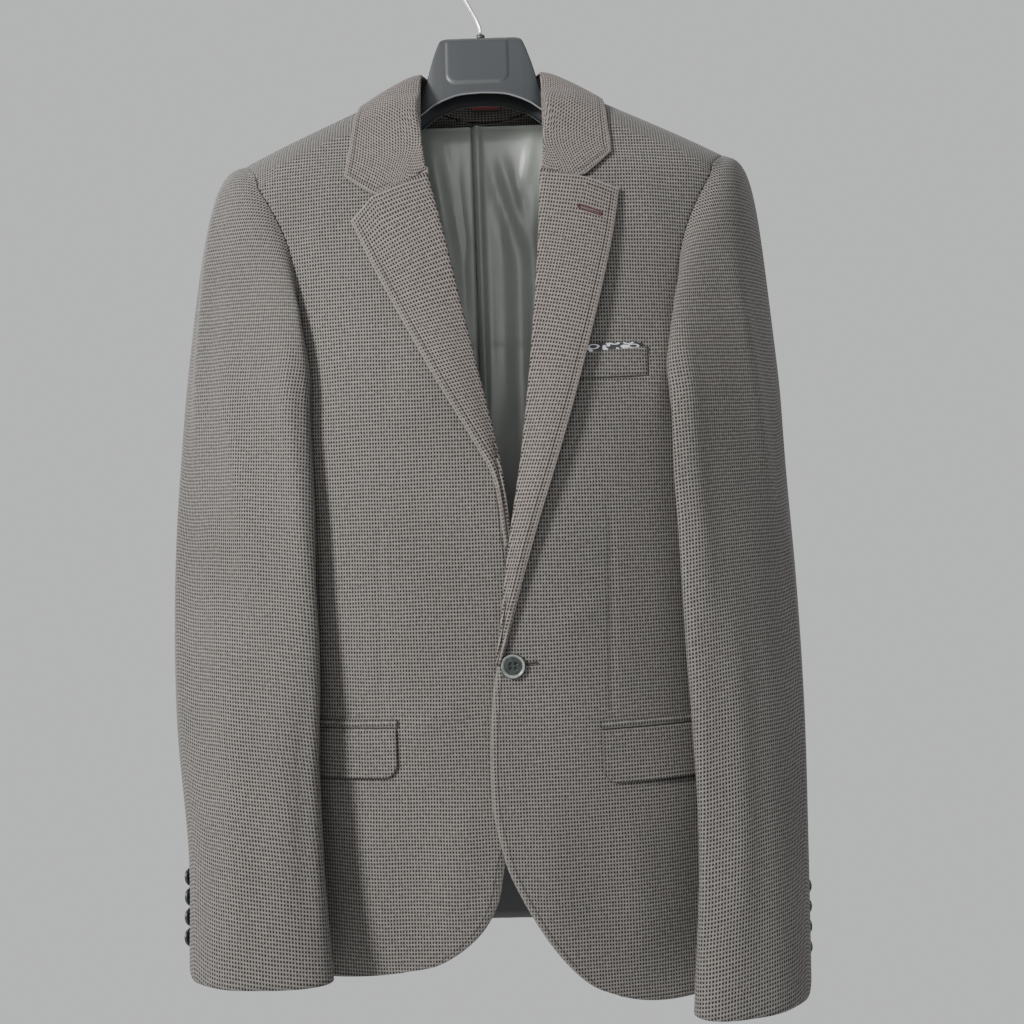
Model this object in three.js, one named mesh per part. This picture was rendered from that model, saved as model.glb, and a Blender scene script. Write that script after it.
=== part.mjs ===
import * as THREE from "three";

// A one-button blazer on a moulded hanger, in millimetres. The origin is the inner top of the
// hook. X runs to the wearer's left, Y to the back and Z up, so the fronts face -Y.
// "Out" is the distance from the middle line, the same on both sides of the garment.

const cloth = { wall: 1.6, seam: 0.3 };
const corner = 2.4; // exponent of the body's rounded section: 2 is an ellipse
const shoulderTilt = { left: 22, right: 44 }; // of the shoulder seam, over the ridge to the front
const ridge = { neckOut: 75, neckZ: -130, tipOut: 213, leftFall: 0.47, rightFall: 0.44, round: 28 };
const armhole = { midZ: -274, halfHeight: 84, overRidge: 48 };
const hem = { left: -880, right: -866, centreBack: -868, lining: -861 };
const hook = { wire: 3, innerRadius: 20.5, bendZ: -68, endAngle: -12 };
const nut = { radius: 3.9, topZ: -75.8, baseZ: -79.6 };
const frontButton = { radius: 10, thick: 3, out: 10.6, z: -614, hole: 1.1, holeOut: 2.6 };
const cuffButton = { radius: 7.2, thick: 2.6, pitch: 14.8, count: 4, lowest: 0.945 };

// The body's section at each height: half width, depth in front of the side seam and behind it.
const bodyRows = [
  { z: -130, half: 228, front: 42, back: 46 },
  { z: -160, half: 231, front: 51, back: 46 },
  { z: -190, half: 232, front: 64, back: 47 },
  { z: -217, half: 229, front: 79, back: 49 },
  { z: -260, half: 222, front: 88, back: 52 },
  { z: -330, half: 212, front: 98, back: 54 },
  { z: -420, half: 205, front: 105, back: 50 },
  { z: -520, half: 197, front: 108, back: 44 },
  { z: -620, half: 203, front: 106, back: 44 },
  { z: -720, half: 211, front: 103, back: 50 },
  { z: -885, half: 219, front: 100, back: 57 },
];

// Where the armhole's seam lies round the body, by its own turn from the shoulder tip.
const armholeRows = [
  { turn: 0, front: 64.5, back: 64.5 },
  { turn: 48, front: 52, back: 58 },
  { turn: 90, front: 43.5, back: 52 },
  { turn: 125, front: 44.5, back: 54 },
  { turn: 155, front: 62, back: 68 },
  { turn: 180, front: 90, back: 90 },
];

// The wearer's left front: neck, roll line, front edge and cutaway, from the shoulder down.
const leftEdge = [
  { out: 71, z: -160 },
  { out: 63, z: -190 },
  { out: 49, z: -221 },
  { out: 45, z: -270 },
  { out: 40, z: -327 },
  { out: 30, z: -422 },
  { out: 19, z: -485 },
  { out: 13, z: -520 },
  { out: 1, z: -602 },
  { out: -6, z: -641 },
  { out: -9, z: -720 },
  { out: 0, z: -769 },
  { out: 10, z: -794 },
  { out: 29, z: -826 },
  { out: 56, z: -861 },
  { out: 87, z: -882 },
];

const rightEdge = [
  { out: 70, z: -160 },
  { out: 62, z: -190 },
  { out: 48, z: -221 },
  { out: 36, z: -270 },
  { out: 24, z: -327 },
  { out: 12, z: -381 },
  { out: -5.5, z: -461 },
  { out: -11, z: -520 },
  { out: -22, z: -600 },
  { out: -23, z: -650 },
  { out: -18, z: -710 },
  { out: 1, z: -773 },
  { out: 8, z: -804 },
  { out: 24, z: -829 },
  { out: 54, z: -850 },
  { out: 87, z: -857 },
];

// How far the left front lies over the right one along the centre.
const lapOver = { near: 36, far: 125 };
const lapRows = [
  { z: -380, lift: 0 },
  { z: -440, lift: 3 },
  { z: -500, lift: 6.6 },
  { z: -560, lift: 6.4 },
  { z: -620, lift: 4.4 },
  { z: -760, lift: 3.2 },
  { z: -885, lift: 3 },
];

// Each lapel: its roll line, its outer edge and how far that edge stands off the front.
const lapelRows = {
  left: [
    { rollOut: 48, rollZ: -223, edgeOut: 108, edgeZ: -237, stand: 4 },
    { rollOut: 45, rollZ: -270, edgeOut: 99, edgeZ: -281, stand: 6 },
    { rollOut: 40, rollZ: -327, edgeOut: 84, edgeZ: -338, stand: 8 },
    { rollOut: 33, rollZ: -390, edgeOut: 68, edgeZ: -394, stand: 8 },
    { rollOut: 25, rollZ: -450, edgeOut: 50, edgeZ: -452, stand: 7 },
    { rollOut: 13, rollZ: -520, edgeOut: 28, edgeZ: -520, stand: 5 },
    { rollOut: 3, rollZ: -592, edgeOut: 8, edgeZ: -592, stand: 4 },
  ],
  right: [
    { rollOut: 47, rollZ: -223, edgeOut: 107, edgeZ: -257, stand: 4 },
    { rollOut: 36, rollZ: -270, edgeOut: 89, edgeZ: -296, stand: 5 },
    { rollOut: 24, rollZ: -327, edgeOut: 68, edgeZ: -338, stand: 5 },
    { rollOut: 12, rollZ: -381, edgeOut: 42, edgeZ: -388, stand: 4.6 },
    { rollOut: 0, rollZ: -436, edgeOut: 13, edgeZ: -440, stand: 4.2 },
    { rollOut: -5.5, rollZ: -468, edgeOut: -1, edgeZ: -470, stand: 4 },
    { rollOut: -11, rollZ: -520, edgeOut: -8, edgeZ: -521, stand: 4 },
  ],
};
const rollGap = 3.4; // from the front to the middle of the lapel's cloth, at the roll
const notch = {
  left: { share: 0.55, rise: 3 },
  right: { share: 0.7, rise: 9 },
};

// The collar from the centre back to its front end: neck seam, crease and outer edge. The edge's
// sag is the tilt over the shoulder's rounding, plus to the front; past 90 it adds millimetres.
const collarRows = {
  left: [
    { seamOut: 0, seamZ: -132, foldOut: 0, foldZ: -110, foldY: 42, edgeOut: 0, edgeSag: -86 },
    { seamOut: 30, seamZ: -132, foldOut: 26, foldZ: -110, foldY: 37, edgeOut: 36, edgeSag: -84 },
    { seamOut: 55, seamZ: -132, foldOut: 45, foldZ: -110, foldY: 22, edgeOut: 72, edgeSag: -78 },
    { seamOut: 71, seamZ: -132, foldOut: 54, foldZ: -112, foldY: 2, edgeOut: 99, edgeSag: -22 },
    { seamOut: 75, seamZ: -132, foldOut: 55, foldZ: -119, foldY: -16, edgeOut: 102, edgeSag: 45 },
    { seamOut: 71, seamZ: -160, foldOut: 52, foldZ: -150, foldY: -40, edgeOut: 103, edgeSag: 90 },
    { seamOut: 63, seamZ: -190, foldOut: 50, foldZ: -186, foldY: -64, edgeOut: 104, edgeSag: 107 },
    { seamOut: 51, seamZ: -217, foldOut: 48, foldZ: -216, foldY: -81, edgeOut: 104, edgeSag: 121 },
  ],
  right: [
    { seamOut: 0, seamZ: -138, foldOut: 0, foldZ: -110, foldY: 42, edgeOut: 0, edgeSag: -86 },
    { seamOut: 30, seamZ: -138, foldOut: 26, foldZ: -110, foldY: 37, edgeOut: 36, edgeSag: -84 },
    { seamOut: 55, seamZ: -138, foldOut: 45, foldZ: -110, foldY: 22, edgeOut: 72, edgeSag: -78 },
    { seamOut: 71, seamZ: -138, foldOut: 55, foldZ: -111, foldY: 2, edgeOut: 100, edgeSag: -20 },
    { seamOut: 75, seamZ: -138, foldOut: 56, foldZ: -118, foldY: -16, edgeOut: 104, edgeSag: 45 },
    { seamOut: 70, seamZ: -160, foldOut: 54, foldZ: -150, foldY: -42, edgeOut: 108, edgeSag: 93 },
    { seamOut: 62, seamZ: -190, foldOut: 51, foldZ: -186, foldY: -64, edgeOut: 111, edgeSag: 115 },
    { seamOut: 50, seamZ: -217, foldOut: 47, foldZ: -216, foldY: -81, edgeOut: 113, edgeSag: 133 },
  ],
};
const backNeckRows = 4; // up to this row the neck seam lies on the back
const collarGap = 3.4; // from the cloth under it to the collar's middle
const collarNotch = {
  left: { share: 0.62, drop: 16 },
  right: { share: 0.66, drop: 20 },
};

// Each sleeve below the armhole: centre, long and short half axes, and the turn of the long
// axis that brings its inner end forward.
const sleeveRows = {
  right: [
    { z: -392, out: 209, y: -52, long: 66, short: 36, turn: 33 },
    { z: -470, out: 208, y: -58, long: 72, short: 31, turn: 30 },
    { z: -560, out: 208, y: -68, long: 72, short: 29, turn: 26 },
    { z: -655, out: 204, y: -84, long: 68, short: 28, turn: 21 },
    { z: -760, out: 195, y: -102, long: 60, short: 26, turn: 14 },
    { z: -849, out: 191, y: -118, long: 59, short: 23, turn: 8 },
  ],
  left: [
    { z: -392, out: 198, y: -58, long: 62, short: 37, turn: 38 },
    { z: -470, out: 197, y: -64, long: 65, short: 34, turn: 37 },
    { z: -560, out: 198, y: -74, long: 64, short: 33, turn: 34 },
    { z: -655, out: 197, y: -90, long: 60, short: 33, turn: 30 },
    { z: -760, out: 193, y: -110, long: 54, short: 32, turn: 25 },
    { z: -874, out: 184, y: -132, long: 52, short: 29, turn: 18 },
  ],
};
const sleeve = { clear: 5, shift: 50, backTop: 300, backCuff: 350, frontTop: 142, frontCuff: 176 };
const sleeveHead = { share: 0.3, puff: 0.36, hang: 2.1, marks: [0, 0.02, 0.05, 0.09, 0.14, 0.19, 0.25] };
const sleeveLowRows = 10;
const sleeveRidge = { height: 3.2, at: 62, spread: 22 };

const flaps = {
  left: { nearOut: 81, farOut: 178, topZ: -665, deep: 44, corner: 12 },
  right: { nearOut: 83, farOut: 180, topZ: -658, deep: 42, corner: 12 },
};
const jet = { tall: 6, gap: 0.6 };
const flapLift = 0.4;
const welt = { nearOut: 40, farOut: 126, topNear: -373.5, topFar: -365.5, baseNear: -392, baseFar: -388.5 };
const square = { nearOut: 55, farOut: 121, tallNear: 7, tallFar: 3, gap: 1.1, thick: 1 };
const label = { near: -10.5, far: 13.5, topZ: -121.5, tall: 5, y: 36.6, thick: 0.8 };
const pleat = { out: -10, depth: 2.2, spread: 6 };
const liningSize = { rows: 14, columns: 18, topAngle: 36, lowAngle: 70, belowRidge: 12, inset: 4.2 };

// The hanger: top and bottom edge and half depth at each, from its middle to an arm's end.
const hangerRows = [
  { out: 0, topZ: -82, topY: 6, baseZ: -132, baseY: 16 },
  { out: 20, topZ: -82, topY: 6, baseZ: -133.5, baseY: 16 },
  { out: 34, topZ: -83, topY: 6, baseZ: -138, baseY: 16 },
  { out: 37, topZ: -88, topY: 6.5, baseZ: -139.5, baseY: 16 },
  { out: 42, topZ: -102, topY: 8, baseZ: -142, baseY: 16 },
  { out: 53, topZ: -136, topY: 11, baseZ: -150, baseY: 16.5 },
  { out: 75, topZ: -138, topY: 9.5, baseZ: -163, baseY: 18 },
  { out: 110, topZ: -150.4, topY: 9, baseZ: -177, baseY: 19 },
  { out: 150, topZ: -169.3, topY: 7.5, baseZ: -193, baseY: 17.5 },
  { out: 185, topZ: -185.5, topY: 5, baseZ: -206, baseY: 13 },
  { out: 197, topZ: -192, topY: 3, baseZ: -207, baseY: 9 },
];
const hanger = { wall: 2.2, crown: 1.2 };
const panel = { left: -31, right: 27, baseZ: -119, deep: 1.1, edge: 1.6 };

const colours = {
  cloth: 0x6f6a64,
  lapel: 0x7a6f6b,
  lining: 0x5c635f,
  plastic: 0x555a60,
  steel: 0xb9b9b6,
  button: 0x39423f,
  label: 0xa04a50,
  square: 0x8f929a,
};

const rad = THREE.MathUtils.degToRad;
const lerp = THREE.MathUtils.lerp;
const clamp = THREE.MathUtils.clamp;
const smooth = THREE.MathUtils.smoothstep;
const steps = (count) => Array.from({ length: count + 1 }, (_, i) => i / count);

// A smooth curve through a table's column, read at a value of its key column.
function read(rows, key, column, at) {
  const up = rows[rows.length - 1][key] > rows[0][key];
  const list = up ? rows : [...rows].reverse();
  const last = list.length - 1;
  const x = clamp(at, list[0][key], list[last][key]);
  let i = 0;
  while (i < last - 1 && list[i + 1][key] < x) i += 1;
  const slope = (k) => {
    const a = list[Math.max(k - 1, 0)];
    const b = list[Math.min(k + 1, last)];
    return (b[column] - a[column]) / (b[key] - a[key]);
  };
  const gap = list[i + 1][key] - list[i][key];
  const t = (x - list[i][key]) / gap;
  const [p, q] = [list[i][column], list[i + 1][column]];
  const [m, n] = [slope(i) * gap, slope(i + 1) * gap];
  return p + t * m + t * t * (3 * (q - p) - 2 * m - n) + t * t * t * (2 * (p - q) + m + n);
}

const half = (z) => read(bodyRows, "z", "half", z);
const depth = (face, z) => read(bodyRows, "z", face, z);
const rounded = (value) => Math.sign(value) * Math.abs(value) ** (2 / corner);
const overDrop = (tilt) => ridge.round * (1 - Math.cos(rad(tilt)));
const outAt = (angle, z) => half(z) * rounded(Math.sin(rad(angle)));

// The height of the shoulder's ridge, which falls a little more on the wearer's left.
function ridgeZ(side, out) {
  const fall = side > 0 ? ridge.leftFall : ridge.rightFall;
  return ridge.neckZ - fall * Math.max(0, Math.abs(out) - ridge.neckOut);
}

function angleAt(out, z) {
  const share = clamp(Math.abs(out) / half(z), 0, 1) ** (corner / 2);
  return Math.sign(out) * THREE.MathUtils.radToDeg(Math.asin(share));
}

// How full the section is at a drop below the shoulder's ridge: none at the ridge itself.
function fullness(drop) {
  const share = clamp(drop / ridge.round, 0, 1);
  return Math.sqrt(1 - (1 - share) ** 2);
}

// A point of the body's surface at an angle round it from the centre front or back.
function bodyPoint(side, face, angle, z, full) {
  const turn = rad(angle);
  const deep = depth(face, z) * rounded(Math.cos(turn)) * full;
  return new THREE.Vector3(side * outAt(angle, z), face === "front" ? -deep : deep, z);
}

function lapLift(side, out, z) {
  if (side < 0) return 0;
  return read(lapRows, "z", "lift", z) * (1 - smooth(out, lapOver.near, lapOver.far));
}

// The normal of a surface given by a function of two parameters, pointing away from the middle.
function outwardAt(surface, u, v, stepU, stepV) {
  const here = surface(u, v);
  const normal = surface(u + stepU, v).sub(here).cross(surface(u, v + stepV).sub(here)).normalize();
  return normal.x * here.x + normal.y * here.y < 0 ? normal.negate() : normal;
}

function frontSurface(side) {
  return (out, z) => {
    const point = bodyPoint(side, "front", angleAt(out, z), z, fullness(ridgeZ(side, out) - z));
    point.y -= lapLift(side, out, z);
    return point;
  };
}

// A point on a front, moved out by a distance along the surface's normal.
function onFront(side, out, z, away) {
  const surface = frontSurface(side);
  const normal = outwardAt(surface, out, z, 1, -1);
  return surface(out, z).addScaledVector(normal.y > 0 ? normal.negate() : normal, away);
}

// Closed wall on a grid of points: the grid is its middle, and every side gets a rim.
function wallOn(grid, wall) {
  const rows = grid.length;
  const cols = grid[0].length;
  const normals = grid.map((row, r) =>
    row.map((_, c) => {
      const right = row[Math.min(c + 1, cols - 1)].clone().sub(row[Math.max(c - 1, 0)]);
      const down = grid[Math.min(r + 1, rows - 1)][c].clone().sub(grid[Math.max(r - 1, 0)][c]);
      return right.cross(down).normalize();
    }),
  );
  const points = [];
  for (const side of [1, -1]) {
    grid.forEach((row, r) =>
      row.forEach((p, c) => points.push(p.clone().addScaledVector(normals[r][c], (side * wall) / 2))),
    );
  }
  const faces = [];
  const id = (layer, r, c) => layer * rows * cols + r * cols + c;
  const quad = (a, b, c, d) => faces.push([a, b, c], [a, c, d]);
  for (let r = 0; r < rows - 1; r += 1) {
    for (let c = 0; c < cols - 1; c += 1) {
      quad(id(0, r, c), id(0, r + 1, c), id(0, r + 1, c + 1), id(0, r, c + 1));
      quad(id(1, r, c), id(1, r, c + 1), id(1, r + 1, c + 1), id(1, r + 1, c));
    }
  }
  const rim = [];
  for (let c = 0; c < cols; c += 1) rim.push([0, c]);
  for (let r = 1; r < rows; r += 1) rim.push([r, cols - 1]);
  for (let c = cols - 2; c >= 0; c -= 1) rim.push([rows - 1, c]);
  for (let r = rows - 2; r > 0; r -= 1) rim.push([r, 0]);
  rim.forEach(([r, c], i) => {
    const [nextRow, nextCol] = rim[(i + 1) % rim.length];
    quad(id(0, r, c), id(0, nextRow, nextCol), id(1, nextRow, nextCol), id(1, r, c));
  });
  return closedGeometry(points, faces);
}

// Closed body through rings of points, each ring the same length, with flat ends.
function loftOf(rings) {
  const points = rings.flat();
  const count = rings[0].length;
  const faces = [];
  for (let r = 0; r < rings.length - 1; r += 1) {
    for (let c = 0; c < count; c += 1) {
      const next = (c + 1) % count;
      const [a, b] = [r * count + c, r * count + next];
      faces.push([a, b, b + count], [a, b + count, a + count]);
    }
  }
  const last = (rings.length - 1) * count;
  for (let c = 1; c < count - 1; c += 1) {
    faces.push([0, c + 1, c], [last, last + c, last + c + 1]);
  }
  return closedGeometry(points, faces);
}

// Indexed geometry whose faces point out, whichever way round they were listed.
function closedGeometry(points, faces) {
  let volume = 0;
  for (const [a, b, c] of faces) {
    volume += points[a].dot(points[b].clone().cross(points[c]));
  }
  const order = volume < 0 ? faces.map(([a, b, c]) => [a, c, b]) : faces;
  const geometry = new THREE.BufferGeometry();
  const numbers = points.flatMap((p) => [p.x, p.y, p.z]);
  geometry.setAttribute("position", new THREE.Float32BufferAttribute(numbers, 3));
  geometry.setIndex(order.flat());
  geometry.computeVertexNormals();
  return geometry;
}

// Draws a grid's sides in by half a seam, so that neighbouring pieces stay apart.
function trimmed(grid, sides, extra = 0.1) {
  const pull = (point, towards) => {
    const step = towards.clone().sub(point);
    return point.clone().addScaledVector(step.normalize(), cloth.seam / 2 + extra);
  };
  const last = grid.length - 1;
  let result = grid.map((row) => [...row]);
  if (sides.includes("left")) result.forEach((row) => (row[0] = pull(row[0], row[1])));
  if (sides.includes("right")) {
    result.forEach((row) => (row[row.length - 1] = pull(row[row.length - 1], row[row.length - 2])));
  }
  if (sides.includes("top")) result[0] = result[0].map((p, c) => pull(p, result[1][c]));
  if (sides.includes("bottom")) result[last] = result[last].map((p, c) => pull(p, result[last - 1][c]));
  return result;
}

// The armhole's seam: angle round the body, height and fullness at a turn from the tip.
function armholeAt(side, face, turn) {
  const angle = read(armholeRows, "turn", face, turn);
  if (turn >= armhole.overRidge) {
    return { angle, z: armhole.midZ + armhole.halfHeight * Math.cos(rad(turn)), full: 1 };
  }
  const tilt = (turn * 90) / armhole.overRidge;
  let z = ridgeZ(side, ridge.tipOut) - overDrop(tilt);
  z = ridgeZ(side, outAt(angle, z)) - overDrop(tilt);
  return { angle, z, full: Math.sin(rad(tilt)) };
}

// A front panel: from the neck, roll line and front edge across to the armhole and side.
function frontGrid(side) {
  const name = side > 0 ? "left" : "right";
  const seamTilt = shoulderTilt[name];
  const startZ = ridge.neckZ - overDrop(seamTilt);
  const edge = [{ out: ridge.neckOut, z: startZ }, ...(side > 0 ? leftEdge : rightEdge)];
  const line = new THREE.CatmullRomCurve3(edge.map((p) => new THREE.Vector3(p.out, 0, p.z)));
  line.curveType = "centripetal";
  const armRows = 10;
  const allRows = 25;
  const cols = 12;
  const armShare = 0.27; // of the edge's length, level with the armhole
  const startTurn = (seamTilt * armhole.overRidge) / 90;
  return steps(allRows).map((v, r) => {
    const upper = Math.min(r / armRows, 1);
    const lower = Math.max(0, r - armRows) / (allRows - armRows);
    const share = r <= armRows ? armShare * upper : lerp(armShare, 1, lower);
    const near = line.getPointAt(share);
    const arm = armholeAt(side, "front", lerp(startTurn, 180, upper));
    const far = {
      angle: arm.angle,
      z: r <= armRows ? arm.z : lerp(arm.z, hem[name], lower),
    };
    const nearAngle = angleAt(near.x, near.z);
    const farOut = outAt(far.angle, far.z);
    return steps(cols).map((t) => {
      const angle = lerp(nearAngle, far.angle, t);
      let z = lerp(near.z, far.z, t);
      const out = outAt(angle, z);
      z = lerp(near.z, far.z, clamp((out - near.x) / (farOut - near.x), 0, 1));
      const full = r === 0 ? Math.sin(rad(seamTilt)) : fullness(ridgeZ(side, out) - z);
      const point = bodyPoint(side, "front", angle, z, full);
      point.y -= lapLift(side, out, z);
      return point;
    });
  });
}

// The neck seam behind the shoulder seams, as a tilt over the ridge at each distance out.
function neckTilt(out, name) {
  const seamTilt = shoulderTilt[name];
  if (out >= ridge.neckOut) return seamTilt;
  const frontY = depth("front", ridge.neckZ) * Math.sin(rad(seamTilt));
  const backY = 37;
  const y = backY - (backY + frontY) * (1 - Math.sqrt(1 - (out / ridge.neckOut) ** 2));
  const deep = y > 0 ? depth("back", ridge.neckZ) : depth("front", ridge.neckZ);
  return -THREE.MathUtils.radToDeg(Math.asin(clamp(y / deep, -1, 1)));
}

// A back panel: over the shoulder's ridge from the shoulder and neck seams, then down.
function backGrid(side) {
  const name = side > 0 ? "left" : "right";
  const overRows = 5;
  const armRows = 7;
  const lowRows = 8;
  const cols = 9;
  const grid = [];
  for (const v of steps(overRows)) {
    const rowTilt = lerp(shoulderTilt[name], -90, v);
    const arm = armholeAt(side, rowTilt > 0 ? "front" : "back", (Math.abs(rowTilt) * armhole.overRidge) / 90);
    grid.push(
      steps(cols).map((t) => {
        const angle = arm.angle * t;
        const guess = outAt(angle, ridge.neckZ);
        const tilt = lerp(neckTilt(guess, name), -90, v);
        const face = tilt > 0 ? "front" : "back";
        let z = ridgeZ(side, guess) - overDrop(tilt);
        z = ridgeZ(side, outAt(angle, z)) - overDrop(tilt);
        return bodyPoint(side, face, angle, z, Math.abs(Math.sin(rad(tilt))));
      }),
    );
  }
  const topZ = ridge.neckZ - ridge.round;
  const chestZ = -340; // the centre's height in the row at the armhole's foot
  for (const v of steps(armRows).slice(1)) {
    const arm = armholeAt(side, "back", lerp(armhole.overRidge, 180, v));
    const farOut = outAt(arm.angle, arm.z);
    grid.push(
      steps(cols).map((t) => {
        const angle = arm.angle * t;
        const centreZ = lerp(topZ, chestZ, v);
        const share = outAt(angle, arm.z) / farOut;
        const straight = lerp(ridge.neckZ, ridgeZ(side, farOut), share);
        const bend = (ridgeZ(side, share * farOut) - straight) * (1 - v);
        return bodyPoint(side, "back", angle, lerp(centreZ, arm.z, share) + bend, 1);
      }),
    );
  }
  const under = armhole.midZ - armhole.halfHeight;
  for (const v of steps(lowRows).slice(1)) {
    grid.push(
      steps(cols).map((t) => {
        const z = lerp(lerp(chestZ, hem.centreBack, v), lerp(under, hem[name], v), t);
        return bodyPoint(side, "back", 90 * t, z, 1);
      }),
    );
  }
  return grid;
}

// The back lining, one layer inside the backs, with a pleat that closes towards the waist.
function liningGrid() {
  const surface = (angle, z) => {
    const full = fullness(ridgeZ(Math.sign(angle), outAt(angle, z)) - z);
    return bodyPoint(1, "back", angle, z, full);
  };
  return steps(liningSize.rows).map((v) => {
    const limit = lerp(liningSize.topAngle, liningSize.lowAngle, smooth(v, 0, 0.3));
    return steps(liningSize.columns).map((t) => {
      const angle = lerp(-limit, limit, t);
      const topZ = ridgeZ(Math.sign(angle), outAt(angle, ridge.neckZ)) - liningSize.belowRidge;
      const z = lerp(topZ, hem.lining, v ** 1.15);
      const point = surface(angle, z);
      const fold = Math.exp(-(((point.x - pleat.out) / pleat.spread) ** 2)) * (1 - smooth(v, 0.15, 0.45));
      point.addScaledVector(outwardAt(surface, angle, z, 0.5, -1), -liningSize.inset);
      point.y -= pleat.depth * fold;
      return point;
    });
  });
}

// A lapel: it rolls over the front's edge in a half round, then lies over the front.
function lapelGrid(side) {
  const name = side > 0 ? "left" : "right";
  const rows = lapelRows[name].map((row, i) => ({ ...row, at: i }));
  const { share, rise } = notch[name];
  return steps(15).map((v) => {
    const at = v * (rows.length - 1);
    const [rollOut, rollZ, edgeOut, edgeZ, stand] = ["rollOut", "rollZ", "edgeOut", "edgeZ", "stand"].map(
      (column) => read(rows, "at", column, at),
    );
    const line = [40, 85, 130].map((turn) => {
      const point = onFront(side, rollOut, rollZ, rollGap * (0.5 - 0.5 * Math.cos(rad(turn))) + 0.2);
      point.x -= side * (0.5 + (rollGap / 2) * Math.sin(rad(turn)));
      return point;
    });
    for (const t of steps(6)) {
      const out = lerp(rollOut + 0.6, edgeOut, t);
      const peak = t < share ? t / share : (1 - t) / (1 - share);
      const z = lerp(rollZ, edgeZ, t) + rise * peak * (1 - smooth(v, 0, 0.16));
      const belly = 1.1 * Math.sin(Math.PI * t);
      line.push(onFront(side, out, z, lerp(rollGap, stand, t) + belly));
    }
    return line;
  });
}

// Keeps a point of the collar at least a distance off the shoulder, front or back beneath it.
function offBody(point, gap) {
  const side = point.x < 0 ? -1 : 1;
  const out = Math.abs(point.x);
  const face = point.y < 0 ? "front" : "back";
  const drop = ridgeZ(side, out) - point.z;
  const full = bodyPoint(side, face, angleAt(out, point.z), point.z, 1);
  const share = Math.abs(point.y) / Math.abs(full.y);
  const surfaceY = Math.abs(full.y) * fullness(drop);
  const slope = Math.max(fullness(drop), 0.2);
  const byY = drop > 0 ? surfaceY + gap / slope - Math.abs(point.y) : 0;
  const tilt = Math.asin(clamp(share, 0, 0.98));
  const surfaceZ = ridgeZ(side, out) - ridge.round * (1 - Math.cos(tilt));
  const byZ = share < 0.98 ? surfaceZ + gap / Math.cos(tilt) - point.z : Infinity;
  const result = point.clone();
  if (byZ <= 0 || (drop > 0 && byY <= 0)) return result;
  if (drop > 0 && byY < byZ) result.y += Math.sign(point.y) * byY;
  else if (byZ < Infinity) result.z += byZ;
  return result;
}

// The neck seam at a row of the collar's table: round the back's neck, then down the front.
function neckSeam(name, side, at, out, z) {
  if (at > backNeckRows) return frontSurface(side)(out, z);
  const across = Math.min(out, ridge.neckOut);
  const tilt = neckTilt(across, name);
  const seamZ = ridge.neckZ - overDrop(tilt);
  const full = Math.abs(Math.sin(rad(tilt)));
  return bodyPoint(side, tilt > 0 ? "front" : "back", angleAt(across, seamZ), seamZ, full);
}

// The collar in one: its stand from the neck seam, the crease, and the fall to its edge.
function collarGrid() {
  const ring = (name, side, at) => {
    const rows = collarRows[name].map((row, i) => ({ ...row, at: i }));
    const columns = ["seamOut", "seamZ", "foldOut", "foldZ", "foldY", "edgeOut", "edgeSag"];
    const values = columns.map((column) => read(rows, "at", column, at));
    const [seamOut, seamZ, foldOut, foldZ, foldY, edgeOut, edgeSag] = values;
    const last = rows.length - 1;
    const seam = neckSeam(name, side, at, seamOut, seamZ);
    seam.add(new THREE.Vector3(-side * 1.6 * smooth(seamOut, 20, 60), 0.4, 1.5));
    const fold = new THREE.Vector3(side * foldOut, foldY, foldZ);
    const tilt = clamp(edgeSag, -90, 90);
    const edgeZ = ridgeZ(side, edgeOut) - overDrop(tilt) - Math.max(0, Math.abs(edgeSag) - 90);
    const face = edgeSag < 0 ? "back" : "front";
    const edge = bodyPoint(side, face, angleAt(edgeOut, edgeZ), edgeZ, Math.abs(Math.sin(rad(tilt))));
    edge.add(new THREE.Vector3(0, -Math.sin(rad(tilt)), Math.cos(rad(tilt))).multiplyScalar(collarGap));
    const away = new THREE.Vector3(edge.x - fold.x, edge.y - fold.y, 0).normalize();
    const stand = steps(2).map((t) => seam.clone().lerp(fold, t).addScaledVector(away, -1.2 * t));
    const fallStart = fold.clone().addScaledVector(away, 2.6);
    const handle = fallStart.clone().addScaledVector(away, 5).add(new THREE.Vector3(0, 0, 1.5));
    const fall = new THREE.CubicBezierCurve3(
      fallStart,
      handle,
      edge.clone().lerp(handle, 0.4).addScaledVector(away, 2),
      edge,
    );
    const top = fold.clone().addScaledVector(away, 0.7);
    top.z += 1.5;
    const { share, drop: dip } = collarNotch[name];
    const front = smooth(at, last - 1.4, last);
    const fallPoints = steps(7).map((t) => {
      const point = fall.getPoint(t);
      const peak = t < share ? t / share : (1 - t) / (1 - share);
      point.z -= dip * peak * front ** 2;
      return offBody(point, collarGap);
    });
    return [...stand, top, ...fallPoints];
  };
  const count = 13;
  const end = collarRows.left.length - 1;
  const right = steps(count).map((v) => ring("right", -1, (1 - v) * end));
  const left = steps(count).slice(1).map((v) => ring("left", 1, v * end));
  return [...right, ...left];
}

// Moves a point of a sleeve out of the body, by a few steps along the section's slope.
function outsideBody(point, clear) {
  if (clear <= 0) return point;
  const wide = half(point.z) + clear;
  const deep = depth(point.y < 0 ? "front" : "back", point.z) + clear;
  let [x, y] = [Math.abs(point.x), Math.abs(point.y)];
  for (let i = 0; i < 6; i += 1) {
    const level = (x / wide) ** corner + (y / deep) ** corner;
    if (level >= 1) break;
    const slopeX = (corner * (x / wide) ** (corner - 1)) / wide;
    const slopeY = (corner * (y / deep) ** (corner - 1)) / deep;
    const step = (1.0005 - level) / (slopeX ** 2 + slopeY ** 2);
    x += step * slopeX;
    y += step * slopeY;
  }
  return new THREE.Vector3(Math.sign(point.x) * x, (point.y < 0 ? -1 : 1) * y, point.z);
}

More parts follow.
